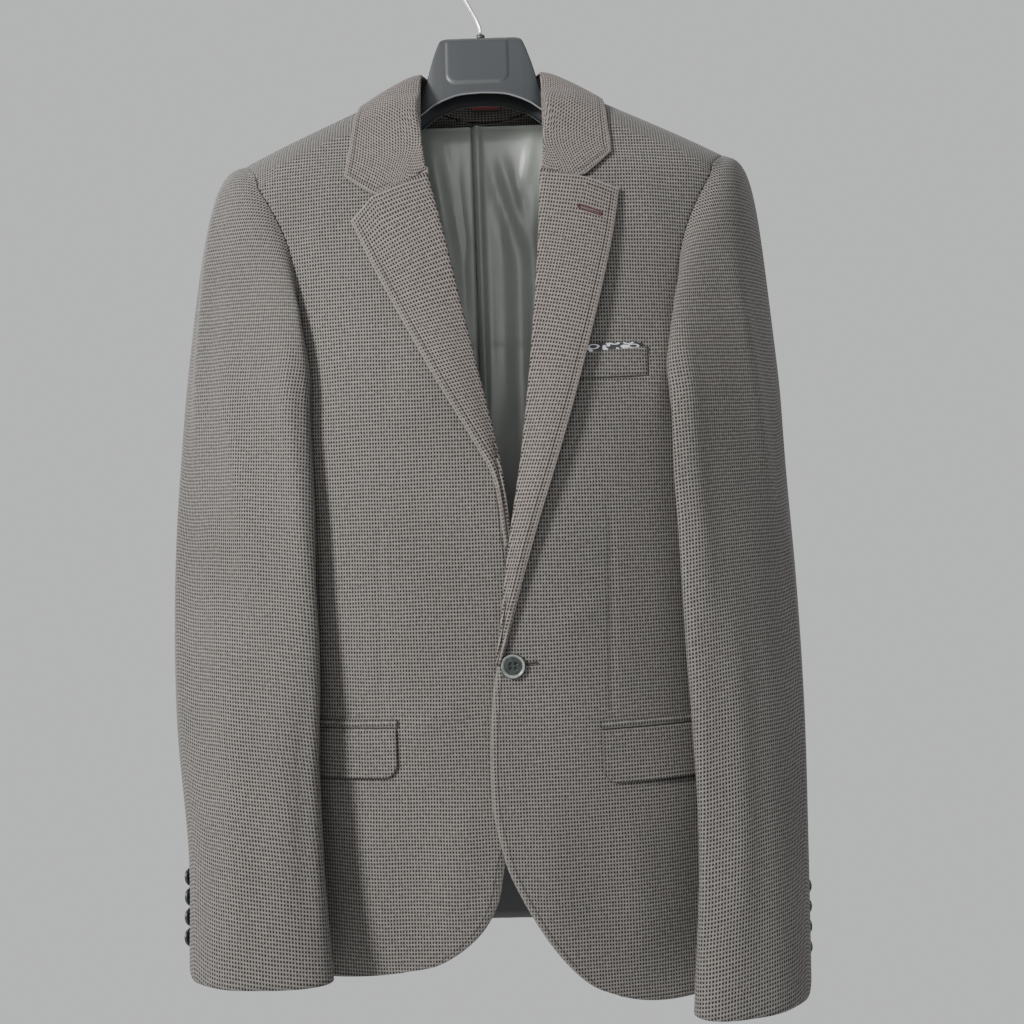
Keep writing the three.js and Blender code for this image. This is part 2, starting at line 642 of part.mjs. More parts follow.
// A point of a sleeve: turn runs round it from the shoulder tip over the front, v down it.
function sleevePoint(side, turn, v) {
  const name = side > 0 ? "left" : "right";
  const rows = sleeveRows[name];
  const around = turn + sleeve.shift * Math.sin(rad(turn) / 2) ** 2;
  const ringPoint = (z) => {
    const [out, y, long, short, tilt] = ["out", "y", "long", "short", "turn"].map((column) =>
      read(rows, "z", column, z),
    );
    const ridgeAngle = ((around - sleeveRidge.at + 540) % 360) - 180;
    const swell = 1 + (sleeveRidge.height / short) * Math.exp(-((ridgeAngle / sleeveRidge.spread) ** 2));
    const p = long * Math.cos(rad(around));
    const q = short * Math.sin(rad(around)) * swell;
    const [c, s] = [Math.cos(rad(tilt)), Math.sin(rad(tilt))];
    const point = new THREE.Vector3(side * (out + p * c - q * s * 0.35), y + p * s - q * c, z);
    return outsideBody(point, sleeve.clear);
  };
  const topZ = rows[0].z;
  if (v >= sleeveHead.share) {
    const z = lerp(topZ, rows[rows.length - 1].z, (v - sleeveHead.share) / (1 - sleeveHead.share));
    return ringPoint(z);
  }
  const signed = turn > 180 ? 360 - turn : turn;
  const face = turn > 180 ? "back" : "front";
  const seam = armholeAt(side, face, Math.abs(signed));
  const start = bodyPoint(side, face, seam.angle, seam.z, seam.full);
  const end = ringPoint(topZ);
  const [c, s] = [Math.cos(rad(turn)), Math.sin(rad(turn))];
  const low = smooth(Math.abs(signed), 95, 150);
  const flatY = (start.y / depth(face, start.z)) * 1.4;
  const flat = new THREE.Vector3(start.x / half(start.z), flatY, 0).normalize();
  const away = new THREE.Vector3(
    side * (0.45 + 0.55 * Math.max(0, c)),
    -0.7 * s * (1 - 0.4 * low),
    0.1 * Math.max(0, c) ** 3 - 0.5 * s * s - 0.5 * Math.max(0, -c),
  ).normalize();
  away.addScaledVector(flat, 0.9 * low).normalize();
  start.addScaledVector(away, cloth.wall / 2 + cloth.seam + 0.3);
  start.addScaledVector(flat, 2.2 * (cloth.wall + cloth.seam) * low);
  const reach = start.distanceTo(end);
  const down = end.clone().sub(start).normalize().add(new THREE.Vector3(0, 0, -1)).normalize();
  const t = v / sleeveHead.share;
  const [t2, t3] = [t * t, t * t * t];
  const point = start.clone().multiplyScalar(2 * t3 - 3 * t2 + 1);
  point.addScaledVector(away, (t3 - 2 * t2 + t) * reach * sleeveHead.puff);
  point.addScaledVector(end, -2 * t3 + 3 * t2);
  point.addScaledVector(down, (t3 - t2) * reach * sleeveHead.hang);
  return outsideBody(point, sleeve.clear * smooth(t, 0.1, 0.75) + 1.9 * low * (1 - smooth(t, 0.1, 0.75)));
}

function sleeveGrid(side, part) {
  const cols = part === "top" ? 13 : 8;
  const low = steps(sleeveLowRows).map((t) => lerp(sleeveHead.share, 1, t));
  return [...sleeveHead.marks, ...low].map((v) => {
    const back = lerp(sleeve.backTop, sleeve.backCuff, smooth(v, 0, 0.6));
    const front = lerp(sleeve.frontTop, sleeve.frontCuff, smooth(v, 0, 0.6));
    const [from, to] = part === "top" ? [back - 360, front] : [front, back];
    return steps(cols).map((t) => {
      const turn = lerp(from, to, t);
      return sleevePoint(side, turn < 0 ? turn + 360 : turn, v);
    });
  });
}

// A flap hangs below its jet, with its front corner rounded off.
function flapGrid(side) {
  const size = flaps[side > 0 ? "left" : "right"];
  return [0, 0.4, 0.72, 0.84, 0.93, 1].map((v) =>
    steps(8).map((t) => {
      const z = size.topZ - size.deep * v;
      const low = Math.max(0, size.deep * v - (size.deep - size.corner));
      const inset = size.corner - Math.sqrt(Math.max(0, size.corner ** 2 - low ** 2));
      const out = lerp(size.nearOut + inset * 0.9, size.farOut, t);
      return onFront(side, out, z, cloth.wall + cloth.seam + flapLift);
    }),
  );
}

function jetGrid(side) {
  const size = flaps[side > 0 ? "left" : "right"];
  return steps(1).map((v) =>
    steps(8).map((t) => {
      const z = size.topZ + jet.gap + cloth.seam + jet.tall * (1 - v);
      return onFront(side, lerp(size.nearOut - 1, size.farOut, t), z, cloth.wall + cloth.seam + flapLift);
    }),
  );
}

function weltGrid() {
  return steps(3).map((v) =>
    steps(9).map((t) => {
      const z = lerp(lerp(welt.topNear, welt.topFar, t), lerp(welt.baseNear, welt.baseFar, t), v);
      return onFront(1, lerp(welt.nearOut, welt.farOut, t), z, cloth.wall + cloth.seam);
    }),
  );
}

function squareGrid() {
  return steps(1).map((v) =>
    steps(9).map((t) => {
      const out = lerp(square.nearOut, square.farOut, t);
      const top = lerp(welt.topNear, welt.topFar, (out - welt.nearOut) / (welt.farOut - welt.nearOut));
      const tall = lerp(square.tallNear, square.tallFar, t);
      return onFront(1, out, top + square.gap + tall * (1 - v), cloth.wall + 0.1);
    }),
  );
}

function labelGrid() {
  return steps(1).map((v) =>
    steps(4).map((t) => {
      const x = lerp(label.near, label.far, t);
      return new THREE.Vector3(x, label.y - 0.004 * x * x, label.topZ - label.tall * v);
    }),
  );
}

// The hanger's shell: an inverted trough, deep at its middle, with an arm to each side.
function hangerGrid() {
  const marks = [0, 19, 25.4, 27, 29.4, 31, 34, 37, 42, 53, 75, 110, 150, 185, 197];
  const stations = [...marks.slice(1).reverse().map((x) => -x), ...marks];
  const shares = [0, 0.12, 0.23, 0.26, 0.6, 0.96];
  return stations.map((x) => {
    const [topZ, topY, baseZ, baseY] = ["topZ", "topY", "baseZ", "baseY"].map((column) =>
      read(hangerRows, "out", column, Math.abs(x)),
    );
    const face = (sign) =>
      shares.map((share) => {
        const z = lerp(baseZ, topZ, share);
        const inside =
          smooth(x, panel.left - panel.edge, panel.left) *
          (1 - smooth(x, panel.right - panel.edge, panel.right)) *
          smooth(z, panel.baseZ - panel.edge, panel.baseZ);
        const raised = sign < 0 ? panel.deep * inside : 0;
        return new THREE.Vector3(x, sign * (lerp(baseY, topY, share ** 0.8) + raised), z);
      });
    const roof = [-0.45, 0.45].map((share) => new THREE.Vector3(x, share * topY, topZ + hanger.crown));
    return [...face(-1), ...roof, ...face(1).reverse()];
  });
}

// The hook's wire: straight out of its nut, bent aside, then round over the top.
function hookGeometry() {
  const radius = hook.innerRadius + hook.wire / 2;
  const centre = hook.wire / 2 - radius;
  const reach = centre - hook.bendZ;
  const lean = Math.asin(radius / reach);
  const thin = hook.wire / 2;
  const path = [
    [0, nut.baseZ, nut.radius],
    [0, nut.topZ - 0.6, nut.radius],
    [0, nut.topZ, nut.radius - 0.6],
    [0, nut.topZ + 0.01, thin],
    [0, hook.bendZ - 3, thin],
    [-0.6, hook.bendZ + 1, thin],
  ];
  const startAngle = Math.PI + lean;
  const run = Math.sqrt(reach * reach - radius * radius);
  for (const share of [0.25, 0.55, 0.8]) {
    path.push([-Math.sin(lean) * run * share, hook.bendZ + Math.cos(lean) * run * share, thin]);
  }
  for (const share of steps(16)) {
    const angle = lerp(startAngle, rad(hook.endAngle), share);
    path.push([radius * Math.cos(angle), centre + radius * Math.sin(angle), thin]);
  }
  const rings = path.map(([x, z, r], i) => {
    const before = path[Math.max(i - 1, 0)];
    const after = path[Math.min(i + 1, path.length - 1)];
    const along = new THREE.Vector2(after[0] - before[0], after[1] - before[1]).normalize();
    return steps(10).slice(1).map((share) => {
      const turn = share * Math.PI * 2;
      return new THREE.Vector3(
        x + r * Math.cos(turn) * -along.y,
        r * Math.sin(turn),
        z + r * Math.cos(turn) * along.x,
      );
    });
  });
  return loftOf(rings);
}

// A round piece on the Z axis from a profile of radius and height.
function turned(profile, segments) {
  const rings = profile.map(([radius, z]) =>
    steps(segments).slice(1).map((share) => {
      const turn = share * Math.PI * 2;
      return new THREE.Vector3(radius * Math.cos(turn), radius * Math.sin(turn), z);
    }),
  );
  return loftOf(rings);
}

function buttonWithHoles(size) {
  const shape = new THREE.Shape();
  shape.absarc(0, 0, size.radius, 0, Math.PI * 2);
  for (const [x, y] of [[1, 1], [-1, 1], [-1, -1], [1, -1]]) {
    const hole = new THREE.Path();
    const at = size.holeOut / Math.SQRT2;
    hole.absarc(x * at, y * at, size.hole, 0, Math.PI * 2, true);
    shape.holes.push(hole);
  }
  return new THREE.ExtrudeGeometry(shape, { depth: size.thick, bevelEnabled: false, curveSegments: 10 });
}

const group = new THREE.Group();

function add(name, geometry, colour, roughness = 0.9, metalness = 0) {
  const material = new THREE.MeshStandardMaterial({ color: colour, roughness, metalness });
  const mesh = new THREE.Mesh(geometry, material);
  mesh.name = name;
  group.add(mesh);
  return mesh;
}

const sides = { left: 1, right: -1 };

add("lining_back", wallOn(liningGrid(), cloth.wall), colours.lining, 0.5);
for (const [name, side] of Object.entries(sides)) {
  add(`back_${name}`, wallOn(trimmed(backGrid(side), ["left", "right", "top"]), cloth.wall), colours.cloth);
  add(`front_${name}`, wallOn(trimmed(frontGrid(side), ["right", "top"]), cloth.wall), colours.cloth);
  add(`lapel_${name}`, wallOn(lapelGrid(side), cloth.wall), colours.lapel);
  for (const part of ["top", "under"]) {
    const grid = trimmed(sleeveGrid(side, part), ["left", "right"], 0.4);
    add(`sleeve_${part}_${name}`, wallOn(grid, cloth.wall), colours.cloth);
  }
  add(`flap_${name}`, wallOn(flapGrid(side), cloth.wall), colours.cloth);
  add(`jet_${name}`, wallOn(jetGrid(side), cloth.wall), colours.cloth);
}
add("collar", wallOn(collarGrid(), cloth.wall), colours.lapel);
add("label", wallOn(labelGrid(), label.thick), colours.label);
add("chest_welt", wallOn(weltGrid(), cloth.wall), colours.cloth);
add("pocket_square", wallOn(squareGrid(), square.thick), colours.square);

const upward = new THREE.Vector3(0, 0, 1);
const front = add("front_button", buttonWithHoles(frontButton), colours.button, 0.4);
front.position.copy(onFront(1, frontButton.out, frontButton.z, cloth.wall / 2 + cloth.seam + 0.2));
const faceOut = front.position.clone().sub(onFront(1, frontButton.out, frontButton.z, 0)).normalize();
front.quaternion.setFromUnitVectors(upward, faceOut);

const plate = cuffButton.thick;
const buttonProfile = [
  [cuffButton.radius - 0.7, 0],
  [cuffButton.radius, 0.7],
  [cuffButton.radius, plate],
];
for (const [name, side] of Object.entries(sides)) {
  for (let i = 0; i < cuffButton.count; i += 1) {
    const rows = sleeveRows[name];
    const length = (rows[0].z - rows[rows.length - 1].z) / (1 - sleeveHead.share);
    const v = cuffButton.lowest - (i * cuffButton.pitch) / length;
    const turn = sleeve.backCuff + 4;
    const here = sleevePoint(side, turn, v);
    const across = sleevePoint(side, turn + 3, v).sub(here);
    const down = sleevePoint(side, turn, v + 0.02).sub(here);
    const normal = across.cross(down).normalize();
    if (normal.x * side < 0) normal.negate();
    const button = add(`cuff_button_${name}_${i + 1}`, turned(buttonProfile, 12), colours.button, 0.4);
    button.position.copy(here).addScaledVector(normal, cloth.wall / 2 + 0.6);
    button.quaternion.setFromUnitVectors(upward, normal);
  }
}

add("hanger_body", wallOn(hangerGrid(), hanger.wall), colours.plastic, 0.55);
add("hanger_hook", hookGeometry(), colours.steel, 0.25, 1);

export default group;
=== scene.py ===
import math

import bpy
import numpy as np
from mathutils import Matrix


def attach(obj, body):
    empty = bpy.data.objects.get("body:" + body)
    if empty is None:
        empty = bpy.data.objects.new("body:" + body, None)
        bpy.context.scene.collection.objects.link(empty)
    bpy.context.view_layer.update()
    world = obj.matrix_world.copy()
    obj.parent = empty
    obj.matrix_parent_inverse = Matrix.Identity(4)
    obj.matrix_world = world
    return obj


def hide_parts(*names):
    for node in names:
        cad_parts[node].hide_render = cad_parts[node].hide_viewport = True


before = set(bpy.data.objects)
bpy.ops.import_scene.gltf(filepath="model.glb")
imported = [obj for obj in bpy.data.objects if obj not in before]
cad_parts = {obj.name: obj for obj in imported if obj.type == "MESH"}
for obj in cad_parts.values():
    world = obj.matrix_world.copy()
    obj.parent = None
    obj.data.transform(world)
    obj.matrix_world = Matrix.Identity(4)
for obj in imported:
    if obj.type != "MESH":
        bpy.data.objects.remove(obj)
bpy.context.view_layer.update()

# A one-button blazer on a moulded hanger. Lengths are in millimetres and become metres when a
# mesh is made. "Out" is the distance from the middle line; a side is 1 for the wearer's left and
# -1 for the right. Every cloth piece is a thin closed wall on a grid of points.

sideNames = {1: "left", -1: "right"}

# The cloth's thickness and its gap at a seam; how far armhole edges go under the sleeves, all but
# a few rows at the underarm; the trim of other edges; and the distance where no stitched edge is.
wall = 1.6
seam = 0.3
trimLift = wall + seam
tuckUnder = 2.5
untuckedRows = 8
edgeTrim = 0.2
noEdge = 99.0
toMetres = 0.001


# Straight from a to b as t goes from 0 to 1.
def lerp(a, b, t):
    return a + (b - a) * t


# 0 below low, 1 above high, and the cubic 3tt - 2ttt between.
def smooth(x, low, high):
    t = np.clip((x - low) / (high - low), 0, 1)
    return t * t * (3 - 2 * t)


# A bell curve: 1 at its centre and 1/e at one spread from it.
def bell(x, centre, spread):
    return np.exp(-(((x - centre) / spread) ** 2))


# Sine and cosine of an angle in degrees.
def sinDeg(angle):
    return np.sin(np.radians(angle))


def cosDeg(angle):
    return np.cos(np.radians(angle))


# Vectors divided by their own length.
def unit(vectors):
    return vectors / np.maximum(np.linalg.norm(vectors, axis=-1, keepdims=True), 1e-9)


# Points from their X, Y and Z, each a number, a row, a column or a grid.
def stack(x, y, z):
    return np.stack(np.broadcast_arrays(x, y, z), axis=-1).astype(float)


# Shares from 0 to 1 down a grid's rows and across its columns.
def gridShares(rows, cols):
    return np.linspace(0, 1, rows)[:, None], np.linspace(0, 1, cols)[None, :]


# A column of a table as a curve over its key column: a cubic between each two rows, with the
# slope at a row taken from its two neighbours.
def curve(table, key, column, at):
    x = np.array(table[key], float)
    y = np.array(table[column], float)
    if x[0] > x[-1]:
        x, y = x[::-1], y[::-1]
    slope = np.empty_like(y)
    slope[1:-1] = (y[2:] - y[:-2]) / (x[2:] - x[:-2])
    slope[0] = (y[1] - y[0]) / (x[1] - x[0])
    slope[-1] = (y[-1] - y[-2]) / (x[-1] - x[-2])
    at = np.clip(at, x[0], x[-1])
    i = np.clip(np.searchsorted(x, at, side="right") - 1, 0, len(x) - 2)
    gap = x[i + 1] - x[i]
    t = (at - x[i]) / gap
    p, q, m, n = y[i], y[i + 1], slope[i] * gap, slope[i + 1] * gap
    return p + t * m + t**2 * (3 * (q - p) - 2 * m - n) + t**3 * (2 * (p - q) + m + n)


# Several columns at once, named in one string.
def curves(table, key, columns, at):
    return [curve(table, key, column, at) for column in columns.split()]


# The front or the back column, by the face on which each point lies.
def faceCurve(table, key, isFront, at):
    front, back = curves(table, key, "front back", at)
    return np.where(isFront, front, back)


# Length along a line after each of its steps, from 0.
def running(steps):
    return np.concatenate([[0], np.cumsum(steps)])


# Length along each row of a grid from its first column, by straight steps.
def alongRows(grid):
    step = np.linalg.norm(np.diff(grid, axis=1), axis=-1)
    return np.concatenate([np.zeros((len(grid), 1)), np.cumsum(step, axis=1)], axis=1)


# The same down each column, from the first row.
def alongColumns(grid):
    return alongRows(grid.swapaxes(0, 1)).T


# A grid's normals, on the side away from the body's middle unless told otherwise.
def outerNormals(grid, away=None):
    normal = unit(np.cross(np.gradient(grid, axis=1), np.gradient(grid, axis=0)))
    away = grid * [1, 1, 0] if away is None else away
    return -normal if np.sum(normal * away) < 0 else normal


# Turns faces round if the volume they enclose comes out negative.
def facingOut(points, quads):
    a, b, c, d = points[quads].swapaxes(0, 1)
    volume = np.sum(a * np.cross(b, c)) + np.sum(a * np.cross(c, d))
    return quads[:, ::-1] if volume < 0 else quads


# A mesh of quads from points in millimetres, with its cloth map, its distance from stitched edges
# and each face's material number.
def addMesh(name, points, quads, materials, uv=None, gap=None, kinds=None):
    mesh = bpy.data.meshes.new(name)
    mesh.vertices.add(len(points))
    mesh.vertices.foreach_set("co", (points * toMetres).astype(np.float32).ravel())
    mesh.loops.add(quads.size)
    mesh.loops.foreach_set("vertex_index", quads.ravel().astype(np.int32))
    mesh.polygons.add(len(quads))
    mesh.polygons.foreach_set("loop_start", np.arange(0, quads.size, 4, dtype=np.int32))
    mesh.update(calc_edges=True)
    mesh.polygons.foreach_set("use_smooth", np.ones(len(quads), bool))
    if uv is not None:
        layer = mesh.uv_layers.new(name="clothMap")
        layer.data.foreach_set("uv", (uv[quads.ravel()] * toMetres).astype(np.float32).ravel())
    if gap is not None:
        mesh.attributes.new("edgeGap", "FLOAT", "POINT")
        mesh.attributes["edgeGap"].data.foreach_set("value", gap.astype(np.float32))
    for material in materials:
        mesh.materials.append(material)
    if kinds is not None:
        mesh.polygons.foreach_set("material_index", kinds.astype(np.int32))
    mesh.update()
    thing = bpy.data.objects.new(name, mesh)
    bpy.context.scene.collection.objects.link(thing)
    return thing


# A wall whose middle is the grid: outer and inner layer, and a rounded rim all the way round.
# Also gives each point's place in the grid, and 1 for faces of the inner layer.
def wallQuads(grid, thick, away=None):
    rows, cols = grid.shape[:2]
    rim = np.concatenate([
        np.arange(cols),
        np.arange(1, rows) * cols + cols - 1,
        (rows - 1) * cols + np.arange(cols - 2, -1, -1),
        np.arange(rows - 2, 0, -1) * cols,
    ])
    outwards = np.zeros_like(grid)
    outwards[0] += unit(grid[0] - grid[1])
    outwards[-1] += unit(grid[-1] - grid[-2])
    outwards[:, 0] += unit(grid[:, 0] - grid[:, 1])
    outwards[:, -1] += unit(grid[:, -1] - grid[:, -2])
    flat = grid.reshape(-1, 3)
    bulge = flat[rim] + unit(outwards.reshape(-1, 3)[rim]) * thick * 0.3
    half = outerNormals(grid, away).reshape(-1, 3) * thick / 2
    points = np.concatenate([flat + half, flat - half, bulge])
    index = np.arange(rows * cols).reshape(rows, cols)
    a, b, c, d = index[:-1, :-1], index[1:, :-1], index[1:, 1:], index[:-1, 1:]
    outer = np.stack([a, b, c, d], axis=-1).reshape(-1, 4)
    inner = np.stack([a, d, c, b], axis=-1).reshape(-1, 4) + rows * cols
    ring = np.arange(len(rim)) + 2 * rows * cols
    low = rim + rows * cols
    after = np.roll(np.arange(len(rim)), -1)
    rimTop = np.stack([rim, rim[after], ring[after], ring], axis=-1)
    rimLow = np.stack([ring, ring[after], low[after], low], axis=-1)
    quads = np.concatenate([outer, inner, rimTop, rimLow])
    source = np.concatenate([np.arange(rows * cols), np.arange(rows * cols), rim])
    isInner = np.repeat([0, 1, 0], [len(outer), len(inner), 2 * len(rim)])
    return points, facingOut(points, quads), source, isInner


# Says how a piece rides and which node it stands for, if any, whose own mesh it hides.
def settle(thing, node):
    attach(thing, "root")
    if node:
        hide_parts(node)


# Works out the length of a cloth piece's longest column in metres; nothing uses it.
def declareSheet(grid):
    length = max(float(alongColumns(grid)[-1].max()) * toMetres, 0.01)


# One cloth piece: a wall on its grid, with its map and its distance to a stitched edge.
def addPiece(name, grid, uv, materials, gap=None, away=None, thick=wall):
    points, quads, source, isInner = wallQuads(grid, thick, away)
    gap = np.full(grid.shape[:2], noEdge) if gap is None else gap
    thing = addMesh(name, points, quads, materials, uv.reshape(-1, 2)[source], gap.reshape(-1)[source],
                    isInner if len(materials) > 1 else None)
    settle(thing, name)
    declareSheet(grid)


# The body's form, as the frame has it: shoulders, armholes, hems and the section at each height.
shoulder = {"neckOut": 75, "neckZ": -130, "tipOut": 213, "fall": {1: 0.47, -1: 0.44}, "round": 28}
shoulderTilt = {1: 22, -1: 44}
armhole = {"midZ": -274, "halfHeight": 84, "overRidge": 48}
hem = {1: -880, -1: -866, "centreBack": -868, "lining": -866}
corner = 2.4
overLength = 34

bodyRows = {
    "z": [-130, -160, -190, -217, -260, -330, -420, -520, -620, -720, -885],
    "half": [228, 231, 232, 229, 222, 212, 205, 197, 203, 211, 219],
    "front": [42, 51, 64, 79, 88, 98, 105, 108, 106, 103, 100],
    "back": [46, 46, 47, 49, 52, 54, 50, 44, 44, 50, 57],
}
armholeRows = {
    "turn": [0, 48, 90, 125, 155, 180],
    "front": [64.5, 52, 43.5, 44.5, 62, 90],
    "back": [64.5, 58, 52, 54, 68, 90],
}
lapRows = {
    "z": [-380, -440, -500, -560, -620, -760, -885],
    "lift": [0, 3, 6.6, 6.4, 4.4, 3.2, 3],
    "near": 36,
    "far": 125,
}


# The section's outline is |x / half| ** corner + |y / deep| ** corner = 1; rounded gives its x / half
# or y / deep from the sine or cosine of an angle. "Corner" above 2 makes it boxier than an ellipse.
def rounded(value):
    return np.sign(value) * np.abs(value) ** (2 / corner)


# Over the shoulder's ridge the body is a quarter round. Tilt is the angle round it: 90 at its front
# foot, 0 on the ridge, -90 at its back foot. The drop below the ridge is round * (1 - cos(tilt)).
def overDrop(tilt):
    return shoulder["round"] * (1 - cosDeg(tilt))


# Half the body's width at a height.
def halfAt(z):
    return curve(bodyRows, "z", "half", z)


# How far out the section is at an angle: half the width times the rounded sine.
def outAt(angle, z):
    return halfAt(z) * rounded(sinDeg(angle))


# Height of the shoulder's ridge: level at the neck and then falling evenly.
def ridgeZ(side, out):
    fall = np.where(side > 0, shoulder["fall"][1], shoulder["fall"][-1])
    return shoulder["neckZ"] - fall * np.maximum(0, np.abs(out) - shoulder["neckOut"])


# The section's angle at which it is so far out; outAt the other way round.
def angleAt(out, z):
    share = np.clip(np.abs(out) / halfAt(z), 0, 1) ** (corner / 2)
    return np.sign(out) * np.degrees(np.arcsin(share))


# Share of the full depth at a drop below the ridge: the sine of the quarter round's tilt.
def fullness(drop):
    return np.sqrt(1 - (1 - np.clip(drop / shoulder["round"], 0, 1)) ** 2)


# A point of the body: a rounded section, half as wide as the table says and as deep, times how
# full it is near the shoulder's ridge. isFront says on which face each point lies.
def bodyPoint(side, isFront, angle, z, full):
    y = faceCurve(bodyRows, "z", isFront, z) * rounded(cosDeg(angle)) * full
    return stack(side * outAt(angle, z), np.where(isFront, -y, y), z)


# How far the left front is lifted where it laps over the right one.
def lapLift(side, out, z):
    if side < 0:
        return np.zeros(np.broadcast(out, z).shape)
    return curve(lapRows, "z", "lift", z) * (1 - smooth(out, lapRows["near"], lapRows["far"]))


# A point of the front: the body's own, moved forwards where the left front laps over.
def frontPoint(side, out, z):
    point = bodyPoint(side, True, angleAt(out, z), z, fullness(ridgeZ(side, out) - z))
    point[..., 1] -= lapLift(side, out, z)
    return point


# A point off the front's surface along its normal, found from two points a millimetre away.
def onFront(side, out, z, away):
    out, z = np.broadcast_arrays(np.asarray(out, float), np.asarray(z, float))
    here = frontPoint(side, out, z)
    normal = unit(np.cross(frontPoint(side, out + 1, z) - here, frontPoint(side, out, z - 1) - here))
    normal = np.where(normal[..., 1:2] > 0, -normal, normal)
    return here + normal * np.asarray(away, float)[..., None]


# The cloth's grain on the body: arc length round the section from the middle line, and height,
# measured over the shoulder's rounding as a quarter of an ellipse.
def bodyGrain(side, isFront, angle, z):
    steps = np.linspace(0, 1, 25)
    path = bodyPoint(1, isFront, angle[..., None] * steps, z[..., None] + 0 * steps, 1.0)
    around = np.linalg.norm(np.diff(path, axis=-2), axis=-1).sum(-1) * np.sign(angle)
    drop = np.clip(ridgeZ(side, outAt(angle, z)) - z, 0, shoulder["round"])
    over = overLength * np.arccos(np.clip(drop / shoulder["round"], 0, 1)) / (math.pi / 2)
    return np.stack([side * around, z + over], axis=-1)


# The armhole's seam at a turn from the shoulder's tip (0) to the underarm (180): a quarter round
# over the ridge and then half an oval. Gives the section's angle, the height and the fullness.
def armholeAt(side, isFront, turn):
    angle = faceCurve(armholeRows, "turn", isFront, turn)
    low = turn >= armhole["overRidge"]
    lowZ = armhole["midZ"] + armhole["halfHeight"] * cosDeg(turn)
    tilt = np.minimum(turn * 90 / armhole["overRidge"], 90)
    topZ = ridgeZ(side, shoulder["tipOut"]) - overDrop(tilt)
    topZ = ridgeZ(side, outAt(angle, topZ)) - overDrop(tilt)
    return angle, np.where(low, lowZ, topZ), np.where(low, 1.0, sinDeg(tilt))


print("tools ready")


# Draws the named edges of a grid in by a little, or out where it is less than 0.
def trimmed(grid, sides, by=edgeTrim):
    grid = grid.copy()
    ends = {"left": (np.s_[:, 0], np.s_[:, 1]), "right": (np.s_[:, -1], np.s_[:, -2]),
            "top": (np.s_[0], np.s_[1]), "bottom": (np.s_[-1], np.s_[-2])}
    for name in sides:
        end, inside = ends[name]
        grid[end] = grid[end] + unit(grid[inside] - grid[end]) * by
    return grid


# Moves a grid along its normals, away from the body's middle, by a field of heights.
def raised(grid, height, away=None):
    return grid + outerNormals(grid, away) * height[..., None]


# A soft ridge or trough along a line between two places, fading towards its ends.
def crease(u, v, line):
    x0, y0, x1, y1, height, spread = line
    dx, dy = x1 - x0, y1 - y0
    length = math.hypot(dx, dy)
    along = ((u - x0) * dx + (v - y0) * dy) / length**2
    across = ((u - x0) * dy - (v - y0) * dx) / length
    return height * bell(across, 0, spread) * smooth(along, -0.05, 0.35) * (1 - smooth(along, 0.65, 1.05))


# The heights of all creases in a list, added up.
def creaseSum(u, v, lines):
    return sum(crease(u, v, line) for line in lines)


frontEdge = {
    1: {
        "out": [71, 63, 49, 45, 40, 30, 19, 13, 1, -6, -9, 0, 10, 28, 46, 66, 88],
        "z": [-160, -190, -221, -270, -327, -422, -485, -520, -602, -641, -720, -769, -794, -827, -852, -871,
              -881],
    },
    -1: {
        "out": [70, 62, 48, 36, 24, 12, -5.5, -11, -22, -23, -18, 1, 8, 24, 54, 87],
        "z": [-160, -190, -221, -270, -327, -381, -461, -520, -600, -650, -710, -773, -804, -829, -850, -857],
    },
}
frontPiece = {
    "rows": 190,
    "cols": 100,
    "armRows": 0.36,
    "armShare": 0.27,
    "dart": {1: (92.5, -463, 87.5, -663), -1: (91, -457, 94, -655)},
    "hemDip": {1: 50, -1: 12},
    "dartDepth": 1.0,
    "dartSpread": 2.2,
    "seamDepth": 0.4,
    "seamSpread": 1.8,
    "creaseScale": 1.3,
    "creases": {
        1: [
            (150, -330, 128, -430, 1.6, 12), (172, -380, 160, -560, 1.8, 14), (40, -590, 92, -560, 0.9, 9),
            (30, -640, 84, -668, 0.8, 9), (30, -700, 40, -850, 1.4, 18), (100, -720, 112, -880, 1.8, 20),
            (155, -720, 160, -880, -1.6, 18), (120, -200, 150, -300, 1.0, 14), (60, -300, 84, -440, 0.8, 12),
        ],
        -1: [
            (150, -330, 130, -430, -1.4, 12), (168, -390, 158, -560, 1.7, 15), (30, -600, 88, -572, 0.9, 9),
            (26, -640, 80, -672, 0.8, 9), (28, -700, 44, -840, 1.5, 18), (98, -720, 104, -865, 1.8, 20),
            (148, -720, 152, -865, -1.5, 16), (112, -200, 146, -300, 1.1, 14), (70, -320, 90, -440, -0.7, 12),
        ],
    },
}


# The front's free edge from the neck down, at shares of its length.
def edgeLine(side, shares):
    table = {
        "out": [shoulder["neckOut"]] + frontEdge[side]["out"],
        "z": [shoulder["neckZ"] - overDrop(shoulderTilt[side])] + frontEdge[side]["z"],
    }
    table["at"] = running(np.hypot(np.diff(table["out"]), np.diff(table["z"])))
    out, z = curves(table, "at", "out z", np.linspace(0, table["at"][-1], 800))
    length = running(np.hypot(np.diff(out), np.diff(z)))
    want = shares * length[-1]
    return np.interp(want, length, out), np.interp(want, length, z)


# The dart's place across, straight from its top to its foot, and the share of its depth, which
# grows over 60 below the top and ends at the foot.
def dartAt(side, z):
    x0, z0, x1, z1 = frontPiece["dart"][side]
    place = lerp(x0, x1, (z - z0) / (z1 - z0))
    return place, smooth(z, z1 - 4, z1 + 14) * (1 - smooth(z, z0 - 60, z0))


# Creases of the front less the groove of its dart.
def frontHeights(side, out, z):
    height = frontPiece["creaseScale"] * creaseSum(out, z, frontPiece["creases"][side])
    place, share = dartAt(side, z)
    return height - frontPiece["dartDepth"] * bell(out, place, frontPiece["dartSpread"]) * share


